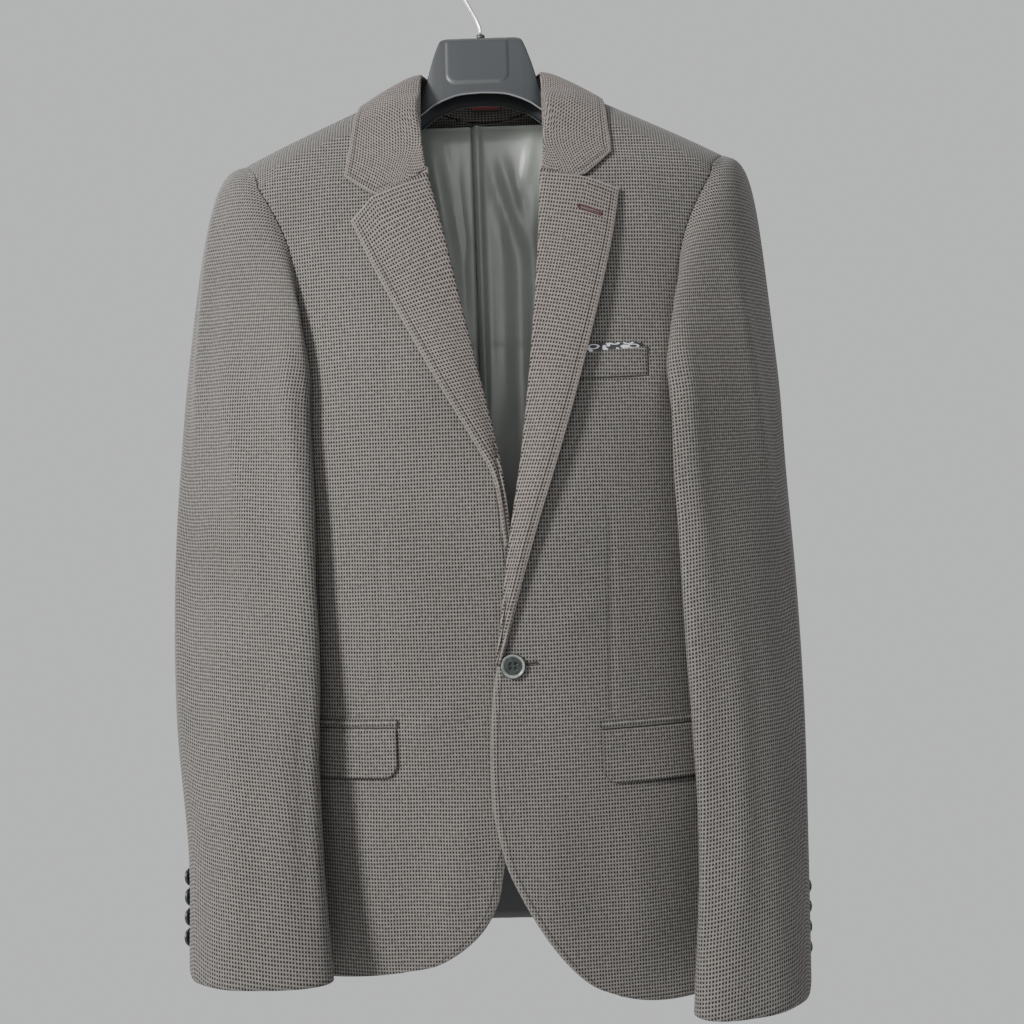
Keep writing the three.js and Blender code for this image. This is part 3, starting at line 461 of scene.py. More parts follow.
# The front: rows from the free edge to the armhole, and below it to the side seam. Their heights
# change evenly with the distance out, and the hem sags by hemDip.
def frontGrid(side):
    v, t = gridShares(frontPiece["rows"], frontPiece["cols"])
    armRows, armShare = frontPiece["armRows"], frontPiece["armShare"]
    upper = np.minimum(v / armRows, 1)
    lower = np.maximum(0, (v - armRows) / (1 - armRows))
    share = np.where(v <= armRows, armShare * upper, lerp(armShare, 1, lower))
    nearOut, nearZ = edgeLine(side, share)
    startTurn = shoulderTilt[side] * armhole["overRidge"] / 90
    farAngle, armZ, _ = armholeAt(side, True, lerp(startTurn, 180, upper))
    farZ = np.where(v <= armRows, armZ, lerp(armZ, hem[side], lower))
    farOut = outAt(farAngle, farZ)
    angle = lerp(angleAt(nearOut, nearZ), farAngle, t)
    z = lerp(nearZ, farZ, t)
    out = outAt(angle, z)
    share = np.clip((out - nearOut) / (farOut - nearOut), 0, 1)
    z = lerp(nearZ, farZ, share) - frontPiece["hemDip"][side] * share * (1 - share) ** 2 * lower**6
    full = fullness(ridgeZ(side, out) - z)
    full[0] = sinDeg(shoulderTilt[side])
    grid = bodyPoint(side, True, angle, z, full)
    grid[..., 1] -= lapLift(side, out, z)
    return grid, bodyGrain(side, True, angle, z), outAt(angle, z), z


# Distance of each point of a grid to the nearest of the named edges.
def edgeGaps(grid, sides):
    across, down = alongRows(grid), alongColumns(grid)
    gaps = {"left": across, "right": across[:, -1:] - across, "top": down, "bottom": down[-1:] - down}
    return np.minimum.reduce([gaps[side] for side in sides])


backPiece = {
    "overRows": 26,
    "armRows": 52,
    "lowRows": 112,
    "cols": 80,
    "chestZ": -340,
    "neckY": 37,
    "seamDepth": 0.8,
    "seamSpread": 2.2,
    "creases": {
        1: [(60, -420, 92, -560, 1.6, 16), (140, -380, 120, -520, -1.8, 18), (150, -540, 150, -850, 2.0, 24),
            (70, -600, 78, -860, -1.8, 22), (120, -200, 165, -330, 1.5, 16), (30, -160, 70, -240, -1.0, 14)],
        -1: [(66, -430, 96, -570, 1.6, 16), (146, -390, 124, -530, -1.8, 18), (142, -560, 146, -850, 2.0, 24),
             (64, -610, 70, -860, -1.8, 22), (118, -205, 160, -330, 1.5, 16), (34, -165, 72, -240, -1.0, 14)],
    },
}


# The neck seam behind the shoulder seams, as a tilt over the shoulder's ridge.
def neckTilt(side, out):
    seamTilt = shoulderTilt[side]
    front, back = curves(bodyRows, "z", "front back", shoulder["neckZ"])
    reach = np.clip(out / shoulder["neckOut"], 0, 1)
    y = backPiece["neckY"] - (backPiece["neckY"] + front * sinDeg(seamTilt)) * (1 - np.sqrt(1 - reach**2))
    tilt = -np.degrees(np.arcsin(np.clip(y / np.where(y > 0, back, front), -1, 1)))
    return np.where(out >= shoulder["neckOut"], seamTilt, tilt)


# The back in three bands of rows, from the shoulder seam over the ridge, beside the armhole, and
# from there to the hem.
def backGrid(side):
    v, t = gridShares(backPiece["overRows"], backPiece["cols"])
    rowTilt = lerp(shoulderTilt[side], -90, v)
    armAngle, _, _ = armholeAt(side, rowTilt > 0, np.abs(rowTilt) * armhole["overRidge"] / 90)
    angle = armAngle * t
    guess = outAt(angle, shoulder["neckZ"])
    tilt = lerp(neckTilt(side, guess), -90, v)
    z = ridgeZ(side, guess) - overDrop(tilt)
    z = ridgeZ(side, outAt(angle, z)) - overDrop(tilt)
    parts = [(angle, z, np.abs(sinDeg(tilt)), tilt > 0)]

    v = np.linspace(0, 1, backPiece["armRows"])[1:, None]
    armAngle, armZ, _ = armholeAt(side, False, lerp(armhole["overRidge"], 180, v))
    farOut = outAt(armAngle, armZ)
    angle = armAngle * t
    share = outAt(angle, armZ) / farOut
    straight = lerp(shoulder["neckZ"], ridgeZ(side, farOut), share)
    bend = (ridgeZ(side, share * farOut) - straight) * (1 - v)
    centreZ = lerp(shoulder["neckZ"] - shoulder["round"], backPiece["chestZ"], v)
    z = lerp(centreZ, armZ, share) + bend
    parts.append((angle, z, np.ones_like(z), np.zeros_like(z, bool)))

    v = np.linspace(0, 1, backPiece["lowRows"])[1:, None]
    under = armhole["midZ"] - armhole["halfHeight"]
    z = lerp(lerp(backPiece["chestZ"], hem["centreBack"], v), lerp(under, hem[side], v), t)
    angle = 90 * t + 0 * v
    parts.append((angle, z, np.ones_like(z), np.zeros_like(z, bool)))

    angle, z, full, isFront = (np.concatenate(column) for column in zip(*parts))
    grid = bodyPoint(side, isFront, angle, z, full)
    return grid, bodyGrain(side, False, angle, z), outAt(angle, z), z


liningPiece = {
    "rows": 140,
    "cols": 140,
    "pleatCols": 46,
    "topAngle": 36,
    "lowAngle": 70,
    "belowRidge": 12,
    "inset": 4.2,
    "pleatAt": -6.6,
    "pleatDepth": 3.6,
    "pleatSpread": 3.2,
    "slitAt": -11.4,
    "slitDepth": 4.5,
    "pleatEnd": (320, 470),
    "deepestFold": -1.5,
    "seamRise": 0.7,
    "creases": [
        (-45, -130, -34, -420, 2.2, 7), (-26, -140, -22, -330, -1.4, 5), (14, -140, 10, -420, 1.8, 6),
        (30, -150, 24, -520, -1.6, 7), (42, -140, 40, -460, 2.4, 7), (-58, -200, -50, -600, 1.8, 9),
        (60, -200, 56, -640, 1.8, 10), (0, -330, 4, -640, 1.4, 8), (-110, -300, -100, -760, 2.2, 14),
        (106, -300, 100, -760, 2.2, 14), (-20, -560, -24, -850, 1.8, 10), (26, -600, 30, -850, 1.8, 10),
        (4, -172, 26, -268, -3.4, 4.5), (14, -164, 38, -262, 3.0, 5), (-52, -150, -30, -268, 3.2, 5),
        (-40, -146, -20, -262, -3.0, 4.5), (44, -150, 30, -210, 2.4, 5),
    ],
    "seamZ": -345,
}


# The lining lies inside the backs by an inset, with a laid pleat: a ridge beside a narrow slit,
# both fading below the waist.
def liningGrid():
    v, _ = gridShares(liningPiece["rows"], 1)
    limit = lerp(liningPiece["topAngle"], liningPiece["lowAngle"], smooth(v, 0, 0.3))
    even, pleated = np.linspace(-1, 1, liningPiece["cols"]), np.linspace(-0.1, 0, liningPiece["pleatCols"])
    angle = limit * np.unique(np.concatenate([even, pleated]).round(5))[None, :]
    sign = np.sign(angle)
    topZ = ridgeZ(sign, outAt(angle, shoulder["neckZ"])) - liningPiece["belowRidge"]
    z = lerp(topZ, hem["lining"], v**1.15)
    grid = bodyPoint(1, False, angle, z, fullness(ridgeZ(sign, outAt(angle, z)) - z))
    grid = raised(grid, np.full(z.shape, -liningPiece["inset"]))
    x, low = grid[..., 0], grid[..., 2]
    folds = creaseSum(x, low, liningPiece["creases"])
    fade = 1 - smooth(-low, *liningPiece["pleatEnd"])
    pleat = liningPiece["pleatDepth"] * bell(x, liningPiece["pleatAt"], liningPiece["pleatSpread"]) * fade
    slit = liningPiece["slitDepth"] * bell(x, liningPiece["slitAt"], 1.0) * fade
    seamLine = liningPiece["seamRise"] * bell(low, liningPiece["seamZ"], 1.6)
    grid[..., 1] -= np.maximum(folds, liningPiece["deepestFold"]) + pleat - slit - seamLine
    return grid


lapelPiece = {
    "rows": 130,
    "rollCols": 9,
    "faceCols": 44,
    "rollGap": 3.4,
    "gorgeRows": 10,
    "gorgeTall": 9,
    "gorgeLift": 1.75,
    1: {
        "rollOut": [48, 45, 40, 33, 25, 13, 3, -1],
        "rollZ": [-223, -270, -327, -390, -450, -520, -592, -612],
        "edgeOut": [108, 99, 84, 68, 50, 28, 7, 0.4],
        "edgeZ": [-237, -281, -338, -394, -452, -520, -592, -612],
        "stand": [4, 7, 10, 11, 10, 7, 3.8, 2.6],
        "share": 0.55,
        "rise": 3,
    },
    -1: {
        "rollOut": [47, 36, 24, 12, 0, -5.5, -11],
        "rollZ": [-223, -270, -327, -381, -436, -468, -520],
        "edgeOut": [107, 89, 68, 42, 13, -1, -8],
        "edgeZ": [-257, -296, -338, -388, -440, -470, -521],
        "stand": [4, 5.5, 6, 6, 5.2, 4.4, 4],
        "share": 0.7,
        "rise": 9,
    },
}


# 0 at both ends of an edge and 1 at a share of it, straight between.
def peakAt(t, share):
    return np.where(t < share, t / share, (1 - t) / (1 - share))


# The lapel's roll: a half round over the front's edge, flatter where it is tucked (1) in the gorge.
def lapelRoll(side, out, z, turn, tucked):
    gap = lapelPiece["rollGap"]
    lift = gap * (0.5 - 0.5 * cosDeg(turn)) * (1 - 0.45 * tucked) + 0.2
    roll = onFront(side, out + 0 * turn, z + 0 * turn, lift)
    roll[..., 0] -= side * (0.5 + gap / 2 * sinDeg(turn)) * (1 - 0.3 * tucked)
    return roll


# The lapel's roll and then its face, which lies on the front. A few rows above its seam with the
# collar, along the gorge, sink under the collar.
def lapelGrid(side):
    table = dict(lapelPiece[side])
    table["at"] = np.arange(len(table["rollOut"]))
    v, t = gridShares(lapelPiece["rows"], lapelPiece["faceCols"])
    at = v * table["at"][-1]
    rollOut, rollZ, edgeOut, edgeZ, stand = curves(table, "at", "rollOut rollZ edgeOut edgeZ stand", at)
    turn = np.linspace(40, 130, lapelPiece["rollCols"])[None, :]
    gap = lapelPiece["rollGap"]
    roll = lapelRoll(side, rollOut, rollZ, turn, 0 * v)
    out = lerp(rollOut + 0.6, edgeOut, t)
    z = lerp(rollZ, edgeZ, t) + table["rise"] * peakAt(t, table["share"]) * (1 - smooth(v, 0, 0.16))
    belly = (1.1 + 1.2 * np.sin(math.pi * v)) * np.sin(math.pi * t)
    face = onFront(side, out, z, lerp(gap, stand, t) + belly)
    seamShare = 1 - smooth(t, table["share"] - 0.2, table["share"] + 0.05)
    k = np.linspace(1, 0, lapelPiece["gorgeRows"], endpoint=False)[:, None]
    rise = lapelPiece["gorgeTall"] * k
    tuck = lerp(lerp(gap, stand[0], t), lapelPiece["gorgeLift"], smooth(k, 0, 0.7))
    faceTop = onFront(side, out[0] - rise * 0.15 * seamShare, z[0] + (0.3 * k + rise * seamShare), tuck)
    rollTop = lapelRoll(side, rollOut[0] + 0 * k, rollZ[0] + rise, turn, k)
    return np.concatenate([np.concatenate(band, axis=1) for band in ((rollTop, faceTop), (roll, face))])


# Distance to the lapel's free edge and, past the notch, to its top edge.
def lapelGaps(side, grid):
    across, down = alongRows(grid), alongColumns(grid)
    down = np.abs(down - down[lapelPiece["gorgeRows"]])
    share = across / across[:, -1:]
    beyond = smooth(share, lapelPiece[side]["share"] - 0.02, lapelPiece[side]["share"] + 0.05)
    return np.minimum(across[:, -1:] - across, down + noEdge * (1 - beyond))


collarPiece = {
    "rings": 90,
    "cols": 64,
    "gap": 3.4,
    "backRows": 4,
    1: {
        "seamOut": [0, 30, 55, 71, 75, 71, 63, 51],
        "seamZ": [-132, -132, -132, -132, -132, -160, -190, -217],
        "foldOut": [0, 26, 43, 49.5, 51, 50.5, 50, 48],
        "foldZ": [-110, -110, -110, -112, -119, -150, -186, -216],
        "foldY": [42, 37, 22, 2, -16, -40, -64, -81],
        "edgeOut": [0, 36, 72, 99, 102, 103, 104, 104],
        "edgeSag": [-86, -84, -78, -22, 45, 90, 107, 121],
        "share": 0.62,
        "dip": 16,
    },
    -1: {
        "seamOut": [0, 30, 55, 71, 75, 70, 62, 50],
        "seamZ": [-138, -138, -138, -138, -138, -160, -190, -217],
        "foldOut": [0, 26, 43.5, 51, 52.5, 52.5, 51, 47],
        "foldZ": [-110, -110, -110, -111, -118, -150, -186, -216],
        "foldY": [42, 37, 22, 2, -16, -42, -64, -81],
        "edgeOut": [0, 36, 72, 100, 104, 108, 111, 113],
        "edgeSag": [-86, -84, -78, -20, 45, 93, 115, 133],
        "share": 0.66,
        "dip": 20,
    },
}


# Keeps points of the collar off the shoulder, by the smaller of a move out and a move up.
def offBody(side, point, gap):
    x, y, z = point[..., 0], point[..., 1], point[..., 2]
    out, isFront = np.abs(x), y < 0
    drop = ridgeZ(side, out) - z
    full = np.abs(bodyPoint(side, isFront, angleAt(out, z), z, 1.0)[..., 1])
    share = np.abs(y) / full
    byY = np.where(drop > 0, full * fullness(drop) + gap / np.maximum(fullness(drop), 0.2) - np.abs(y), 0)
    tilt = np.arcsin(np.clip(share, 0, 0.98))
    surfaceZ = ridgeZ(side, out) - shoulder["round"] * (1 - np.cos(tilt))
    byZ = np.where(share < 0.98, surfaceZ + gap / np.cos(tilt) - z, 1e6)
    inside = (byZ > 0) & ~((drop > 0) & (byY <= 0))
    moveY = inside & (drop > 0) & (byY < byZ)
    moveZ = inside & ~moveY & (byZ < 1e5)
    result = point.copy()
    result[..., 1] += np.where(moveY, np.sign(y) * byY, 0)
    result[..., 2] += np.where(moveZ, byZ, 0)
    return result


# Half of the collar, a ring for each place from the centre back to its front end: up the stand from
# the neck's seam, over the fold, and down the fall, a cubic that is kept off the shoulder.
def collarSide(side):
    table = dict(collarPiece[side])
    last = len(table["seamOut"]) - 1
    table["at"] = np.arange(last + 1)
    at = np.linspace(0, last, collarPiece["rings"])
    seamOut, seamZ, foldOut, foldZ, foldY, edgeOut, sag = curves(
        table, "at", "seamOut seamZ foldOut foldZ foldY edgeOut edgeSag", at)
    across = np.minimum(seamOut, shoulder["neckOut"])
    tilt = neckTilt(side, across)
    ridge = shoulder["neckZ"] - overDrop(tilt)
    behind = bodyPoint(side, tilt > 0, angleAt(across, ridge), ridge, np.abs(sinDeg(tilt)))
    root = np.where((at > collarPiece["backRows"])[:, None], frontPoint(side, seamOut, seamZ), behind)
    root = root + stack(-side * 1.6 * smooth(seamOut, 20, 60), 0.4, 1.5)
    fold = stack(side * foldOut, foldY, foldZ)
    tilt = np.clip(sag, -90, 90)
    edgeZ = ridgeZ(side, edgeOut) - overDrop(tilt) - np.maximum(0, np.abs(sag) - 90)
    edge = bodyPoint(side, sag >= 0, angleAt(edgeOut, edgeZ), edgeZ, np.abs(sinDeg(tilt)))
    edge = edge + stack(0 * tilt, -sinDeg(tilt), cosDeg(tilt)) * collarPiece["gap"]
    away = unit((edge - fold) * [1, 1, 0])
    stand = [lerp(root, fold, t) - 1.2 * t * away for t in (0, 0.25, 0.5, 0.75, 1)]
    top = fold + away * 0.7 + [0, 0, 1.5]
    start = fold + away * 2.6
    handle = start + away * 5 + [0, 0, 1.5]
    second = lerp(edge, handle, 0.4) + away * 2
    front = smooth(at, last - 1.4, last) ** 2
    fall = []
    for t in np.linspace(0, 1, 15):
        point = start * (1 - t) ** 3 + handle * 3 * t * (1 - t) ** 2
        point = point + second * 3 * t**2 * (1 - t) + edge * t**3
        point[:, 2] -= table["dip"] * peakAt(t, table["share"]) * front
        fall.append(offBody(side, point, collarPiece["gap"]))
    return np.stack([*stand, top, *fall], axis=1)


# Spreads a grid's columns evenly along each row, and softens the corners of the rows.
def evenRows(grid, cols, passes):
    length = alongRows(grid)
    length = length / length[:, -1:]
    want = np.linspace(0, 1, cols)
    result = np.stack([np.stack([np.interp(want, length[r], grid[r, :, k]) for k in range(3)], axis=-1)
                       for r in range(len(grid))])
    for _ in range(passes):
        result[:, 1:-1] = (result[:, :-2] + 2 * result[:, 1:-1] + result[:, 2:]) / 4
    return result


# The collar: both halves joined at the centre back, then spaced evenly along each row.
def collarGrid():
    right, left = collarSide(-1), collarSide(1)
    return evenRows(np.concatenate([right[::-1], left[1:]]), collarPiece["cols"], 3)


print("body forms ready")

sleeveForm = {
    "clear": 5,
    "shift": 50,
    "back": (300, 350),
    "front": (142, 176),
    "headShare": 0.3,
    "puff": 0.36,
    "hang": 2.1,
    "ridgeHeight": 3.2,
    "ridgeAt": 62,
    "ridgeSpread": 22,
    "creaseScale": 1.5,
    "seamDepth": 0.7,
    "seamSpread": 2.0,
    "rows": 156,
    "topCols": 112,
    "underCols": 64,
    "grainTurn": {"top": 60, "under": 245},
    "pushDrop": (34, 90),
    "inwardAt": [0, 0.07, 0.14, 0.2, 0.27, 0.34, 0.41, 0.47, 0.54, 0.61, 0.68, 0.75, 0.88, 1],
    "inward": {
        1: [0, 4, 7.5, 8.5, 8, 5.5, 3.5, 1, 0, -1, -3, -4, -4.5, -4],
        -1: [0, 4, 7.5, 8.5, 8.5, 6.5, 4, 2.5, 1.5, 0.5, -1.5, -4.5, -5, -3],
    },
    "cornerTurn": 2,
    "cornerRise": 0.015,
    "cornerSpread": 13,
    "softStep": 1.5,
    "softRows": 320,
    "softPasses": 110,
    -1: {
        "z": [-392, -470, -560, -655, -760, -849],
        "out": [209, 208, 208, 204, 195, 191],
        "y": [-52, -58, -68, -84, -102, -118],
        "long": [66, 72, 72, 68, 60, 59],
        "short": [36, 31, 29, 28, 26, 23],
        "turn": [33, 30, 26, 21, 14, 8],
    },
    1: {
        "z": [-392, -470, -560, -655, -760, -874],
        "out": [198, 197, 198, 197, 193, 184],
        "y": [-58, -64, -74, -90, -110, -132],
        "long": [62, 65, 64, 60, 54, 52],
        "short": [37, 34, 33, 33, 32, 29],
        "turn": [38, 37, 34, 30, 25, 18],
    },
}
# Soft ridges down each sleeve: turn and share of its length at both ends, height and spread.
sleeveCreases = {
    -1: [
        (52, 0.16, 84, 0.62, 2.0, 9), (96, 0.2, 112, 0.56, 1.8, 8), (18, 0.3, 30, 0.8, 1.8, 10),
        (128, 0.3, 140, 0.62, -1.6, 9), (70, 0.55, 62, 0.98, 1.8, 10), (112, 0.6, 104, 0.98, -1.6, 10),
        (340, 0.3, 350, 0.75, -1.6, 12), (250, 0.3, 262, 0.8, 2.0, 16), (214, 0.25, 220, 0.7, -1.8, 14),
        (138, 0.02, 141, 0.34, 3.0, 15), (22, 0.06, 44, 0.4, 2.4, 8),
    ],
    1: [
        (60, 0.14, 40, 0.5, 2.0, 9), (100, 0.18, 96, 0.6, 1.8, 9), (28, 0.35, 22, 0.9, 1.6, 10),
        (132, 0.28, 146, 0.66, -1.6, 9), (78, 0.5, 84, 0.98, 1.8, 10), (116, 0.62, 120, 0.98, 1.4, 9),
        (338, 0.3, 348, 0.78, -1.6, 12), (248, 0.28, 258, 0.76, 2.0, 16), (212, 0.25, 218, 0.7, -1.8, 14),
        (138, 0.02, 141, 0.34, 2.6, 15),
    ],
}


# Moves sleeve points out of the body's section, by a few steps along its slope.
def outsideBody(point, clear):
    z = point[..., 2]
    wide = halfAt(z) + clear
    isFront = point[..., 1] < 0
    deep = faceCurve(bodyRows, "z", isFront, z) + clear
    x, y = np.abs(point[..., 0]), np.abs(point[..., 1])
    for _ in range(6):
        level = (x / wide) ** corner + (y / deep) ** corner
        slopeX = corner * (x / wide) ** (corner - 1) / wide
        slopeY = corner * (y / deep) ** (corner - 1) / deep
        step = np.where(level < 1, (1.0005 - level) / np.maximum(slopeX**2 + slopeY**2, 1e-9), 0)
        x = x + step * slopeX
        y = y + step * slopeY
    moved = stack(np.sign(point[..., 0]) * x, np.where(isFront, -y, y), z)
    return np.where(np.asarray(clear > 0)[..., None], moved, point)


# A sleeve's section is an ellipse turned by "turn", with a swell along the outside of the elbow.
# Turn goes from 0 at the outer edge over the front (90) to the body (180) and the back (270).
def sleeveRing(side, turn, z):
    table = sleeveForm[side]
    around = turn + sleeveForm["shift"] * sinDeg(turn / 2) ** 2
    out, y, long, short, tilt = curves(table, "z", "out y long short turn", z)
    ridge = turnFrom(sleeveForm["ridgeAt"], around)
    swell = 1 + sleeveForm["ridgeHeight"] / short * bell(ridge, 0, sleeveForm["ridgeSpread"])
    p = long * cosDeg(around)
    q = short * sinDeg(around) * swell
    c, s = cosDeg(tilt), sinDeg(tilt)
    point = stack(side * (out + p * c - q * s * 0.35), y + p * s - q * c, z)
    return outsideBody(point, np.full(z.shape, float(sleeveForm["clear"])))


# Degrees from one turn to another, between -180 and 180.
def turnFrom(start, turn):
    return (turn - start + 540) % 360 - 180


# A sleeve's surface. Below the head it is a ring at each height; the head is a cubic from the
# armhole's seam, leaving it outwards, to the first ring, which it meets hanging down.
def rawSleeve(side, turn, v):
    turn, v = np.broadcast_arrays(np.asarray(turn, float) % 360, np.asarray(v, float))
    share = sleeveForm["headShare"]
    rows = sleeveForm[side]["z"]
    z = lerp(rows[0], rows[-1], np.clip((v - share) / (1 - share), 0, 1))
    end = sleeveRing(side, turn, z)
    signed = np.where(turn > 180, 360 - turn, turn)
    isFront = turn <= 180
    angle, seamZ, full = armholeAt(side, isFront, signed)
    start = bodyPoint(side, isFront, angle, seamZ, full)
    c, s = cosDeg(turn), sinDeg(turn)
    low = smooth(signed, 95, 150)
    deep = faceCurve(bodyRows, "z", isFront, seamZ)
    flat = unit(stack(start[..., 0] / halfAt(seamZ), start[..., 1] / deep * 1.4, 0 * low))
    up = np.maximum(0, c)
    away = unit(stack(side * (0.45 + 0.55 * up), -0.7 * s * (1 - 0.4 * low),
                      0.1 * up**3 - 0.5 * s * s - 0.5 * np.maximum(0, -c)))
    away = unit(away + flat * (0.9 * low)[..., None])
    start = start + away * (wall / 2 + seam + 0.3)
    start = start + flat * (0.9 * (wall + seam) * low)[..., None]
    reach = np.linalg.norm(end - start, axis=-1)[..., None]
    down = unit(unit(end - start) + [0, 0, -1])
    t = np.clip(v / share, 0, 1)[..., None]
    head = start * (2 * t**3 - 3 * t**2 + 1) + away * (t**3 - 2 * t**2 + t) * reach * sleeveForm["puff"]
    head = head + end * (-2 * t**3 + 3 * t**2) + down * (t**3 - t**2) * reach * sleeveForm["hang"]
    t = t[..., 0]
    clear = sleeveForm["clear"] * smooth(t, 0.1, 0.75) + 1.9 * low * (1 - smooth(t, 0.1, 0.75))
    drop = ridgeZ(side, head[..., 0]) - head[..., 2]
    head = lerp(head, outsideBody(head, clear), smooth(drop, *sleeveForm["pushDrop"])[..., None])
    return np.where((v < share)[..., None], head, end)


# The sleeve's surface as a fine grid, softened by averaging each point with its four neighbours
# many times, most of all in the head. The armhole's seam keeps its place. Then the edge towards
# the body is moved sideways, as the table says, and kept outside the body.
def softSleeve(side):
    turn = np.arange(0, 360, sleeveForm["softStep"])[None, :]
    v = np.linspace(0, 1, sleeveForm["softRows"])[:, None]
    grid = rawSleeve(side, turn, v)
    share = 0.5 * lerp(1.0, 0.12, smooth(v, 0.3, 0.5))[1:-1, :, None]
    for _ in range(sleeveForm["softPasses"]):
        near = (np.roll(grid, 1, axis=1) + np.roll(grid, -1, axis=1))[1:-1] + grid[2:] + grid[:-2]
        grid[1:-1] = lerp(grid[1:-1], near / 4, share)
    around = smooth(turn, 48, 116) * (1 - smooth(turn, 165, 215))
    grid[..., 0] -= side * around * np.interp(v, sleeveForm["inwardAt"], sleeveForm["inward"][side])
    moved = outsideBody(grid, 3.2 * smooth(v, 0.05, 0.2) + 0 * turn)
    return lerp(grid, moved, (around * smooth(v, 0.03, 0.12))[..., None])


softSleeves = {side: softSleeve(side) for side in sideNames}


# A point of the softened sleeve, straight between the four nearest points of its fine grid.
def sleevePoint(side, turn, v):
    turn, v = np.broadcast_arrays(np.asarray(turn, float) % 360, np.asarray(v, float))
    grid = softSleeves[side]
    rows, cols = grid.shape[:2]
    down = np.clip(v, 0, 1) * (rows - 1)
    around = turn / sleeveForm["softStep"]
    i, j = np.minimum(down.astype(int), rows - 2), around.astype(int) % cols
    a, b = (down - i)[..., None], (around - np.floor(around))[..., None]
    k = (j + 1) % cols
    return lerp(lerp(grid[i, j], grid[i, k], b), lerp(grid[i + 1, j], grid[i + 1, k], b), a)


# A sleeve's creases: a bell across each line, which fades at both of its ends.
def sleeveHeights(side, turn, v):
    height = 0
    for turn0, v0, turn1, v1, tall, spread in sleeveCreases[side]:
        along = (v - v0) / (v1 - v0)
        off = turnFrom(lerp(turn0, turn1, along), turn)
        height = height + tall * bell(off, 0, spread) * smooth(along, 0, 0.35) * (1 - smooth(along, 0.65, 1.05))
    return height * sleeveForm["creaseScale"]


# One sleeve piece between its two seams, with its creases, seam grooves and raised cuff corner.
# Its map is straight along the grain line at grainTurn.
def sleeveGrid(side, part):
    v, t = gridShares(sleeveForm["rows"], sleeveForm[part + "Cols"])
    v = v**1.12
    back = lerp(*sleeveForm["back"], smooth(v, 0, 0.6))
    front = lerp(*sleeveForm["front"], smooth(v, 0, 0.6))
    low, high = (back - 360, front) if part == "top" else (front, back)
    turn = lerp(low, high, t)
    raisedCuff = bell(turnFrom(sleeveForm["cornerTurn"], turn), 0, sleeveForm["cornerSpread"])
    grid = sleevePoint(side, turn, v * (1 - sleeveForm["cornerRise"] * raisedCuff))
    centre = sleevePoint(side, np.array([90.0, 270.0]), v).mean(axis=1, keepdims=True)
    away = grid - centre
    seamGap = edgeGaps(grid, ["left", "right"])
    seamDip = sleeveForm["seamDepth"] * bell(seamGap, 0, sleeveForm["seamSpread"]) * (v > 0.01)
    grid = raised(grid, sleeveHeights(side, turn, v) - seamDip, away)
    across, down = alongRows(grid), alongColumns(grid)
    mark = int(np.argmin(np.abs(v[:, 0] - sleeveForm["headShare"])))
    place = sleeveForm["grainTurn"][part]
    offset = np.array([np.interp(place, turn[row], across[row]) for row in range(len(turn))])[:, None]
    uv = np.stack([side * (across - offset), down[mark][None, :] - down], axis=-1)
    return grid, uv, away


flapForm = {
    1: {"near": 79, "far": 178, "topZ": -668, "deep": 42},
    -1: {"near": 83, "far": 180, "topZ": -662, "deep": 39},
    "corner": 12,
    "lift": 0.4,
    "jetTall": 6,
    "jetGap": 0.9,
}
weltForm = {
    "near": 40, "far": 126, "top": (-373.5, -365.5), "base": (-392, -388.5),
    "squareNear": 55, "squareFar": 121, "squareTall": (7, 3), "squareGap": 1.1, "squareThick": 1,
}


# A flap: its lower front corner is inset by a quarter circle, and it stands off more towards the
# hem. The jet above it is half a round, and both lie on the front.
def flapGrid(side):
    size = flapForm[side]
    v, t = gridShares(46, 80)
    v = v**0.9
    z = size["topZ"] - size["deep"] * v
    low = np.maximum(0, size["deep"] * v - (size["deep"] - flapForm["corner"]))
    inset = flapForm["corner"] - np.sqrt(np.maximum(0, flapForm["corner"] ** 2 - low**2))
    out = lerp(size["near"] + inset * 0.9, size["far"], t)
    lift = trimLift + flapForm["lift"] + 1.1 * v**2 + 0.7 * v * np.sin(out / 17)
    lift = lift - 1.3 * bell(v, 0, 0.05)
    return onFront(side, out, z + 0 * t, lift), out, z + 0 * t


# A jet: a strip as long as its flap, lifted across its width by half a sine wave.
def jetGrid(side):
    size = flapForm[side]
    v, t = gridShares(9, 80)
    out = lerp(size["near"] - 1, size["far"], t)
    z = size["topZ"] + flapForm["jetGap"] + flapForm["jetTall"] * (1 - v)
    lift = trimLift + flapForm["lift"] - 0.9 + 0.9 * np.sin(math.pi * v)
    return onFront(side, out + 0 * v, z + 0 * t, lift + 0 * t), out + 0 * v, z + 0 * t


# The welt sinks at its sewn edges; the square's edge stands up behind it, slanting.
def weltGrid():
    v, t = gridShares(26, 76)
    out = lerp(weltForm["near"], weltForm["far"], t) + 0 * v
    top, base = lerp(*weltForm["top"], t), lerp(*weltForm["base"], t)
    z = lerp(top, base, v)
    edge = bell(v, 1, 0.09) + bell(t, 1, 0.02)
    return onFront(1, out, z, trimLift - 0.7 * np.minimum(edge, 1) + 0.3 * bell(v, 0, 0.2)), out, z


# The square's edge: from inside the pocket up to a slanting line, with a faint wave.
def squareGrid():
    v, t = gridShares(12, 90)
    out = lerp(weltForm["squareNear"], weltForm["squareFar"], t) + 0 * v
    place = (out - weltForm["near"]) / (weltForm["far"] - weltForm["near"])
    top = lerp(*weltForm["top"], place)
    z = top + weltForm["squareGap"] - 2.5 * v + lerp(*weltForm["squareTall"], t) * (1 - v)
    return onFront(1, out, z, wall + 0.15 + 0.25 * np.sin(out / 4.3)), out, z


labelForm = {"near": -10.5, "far": 13.5, "topZ": -123.3, "tall": 5, "y": 36.6, "thick": 0.8}


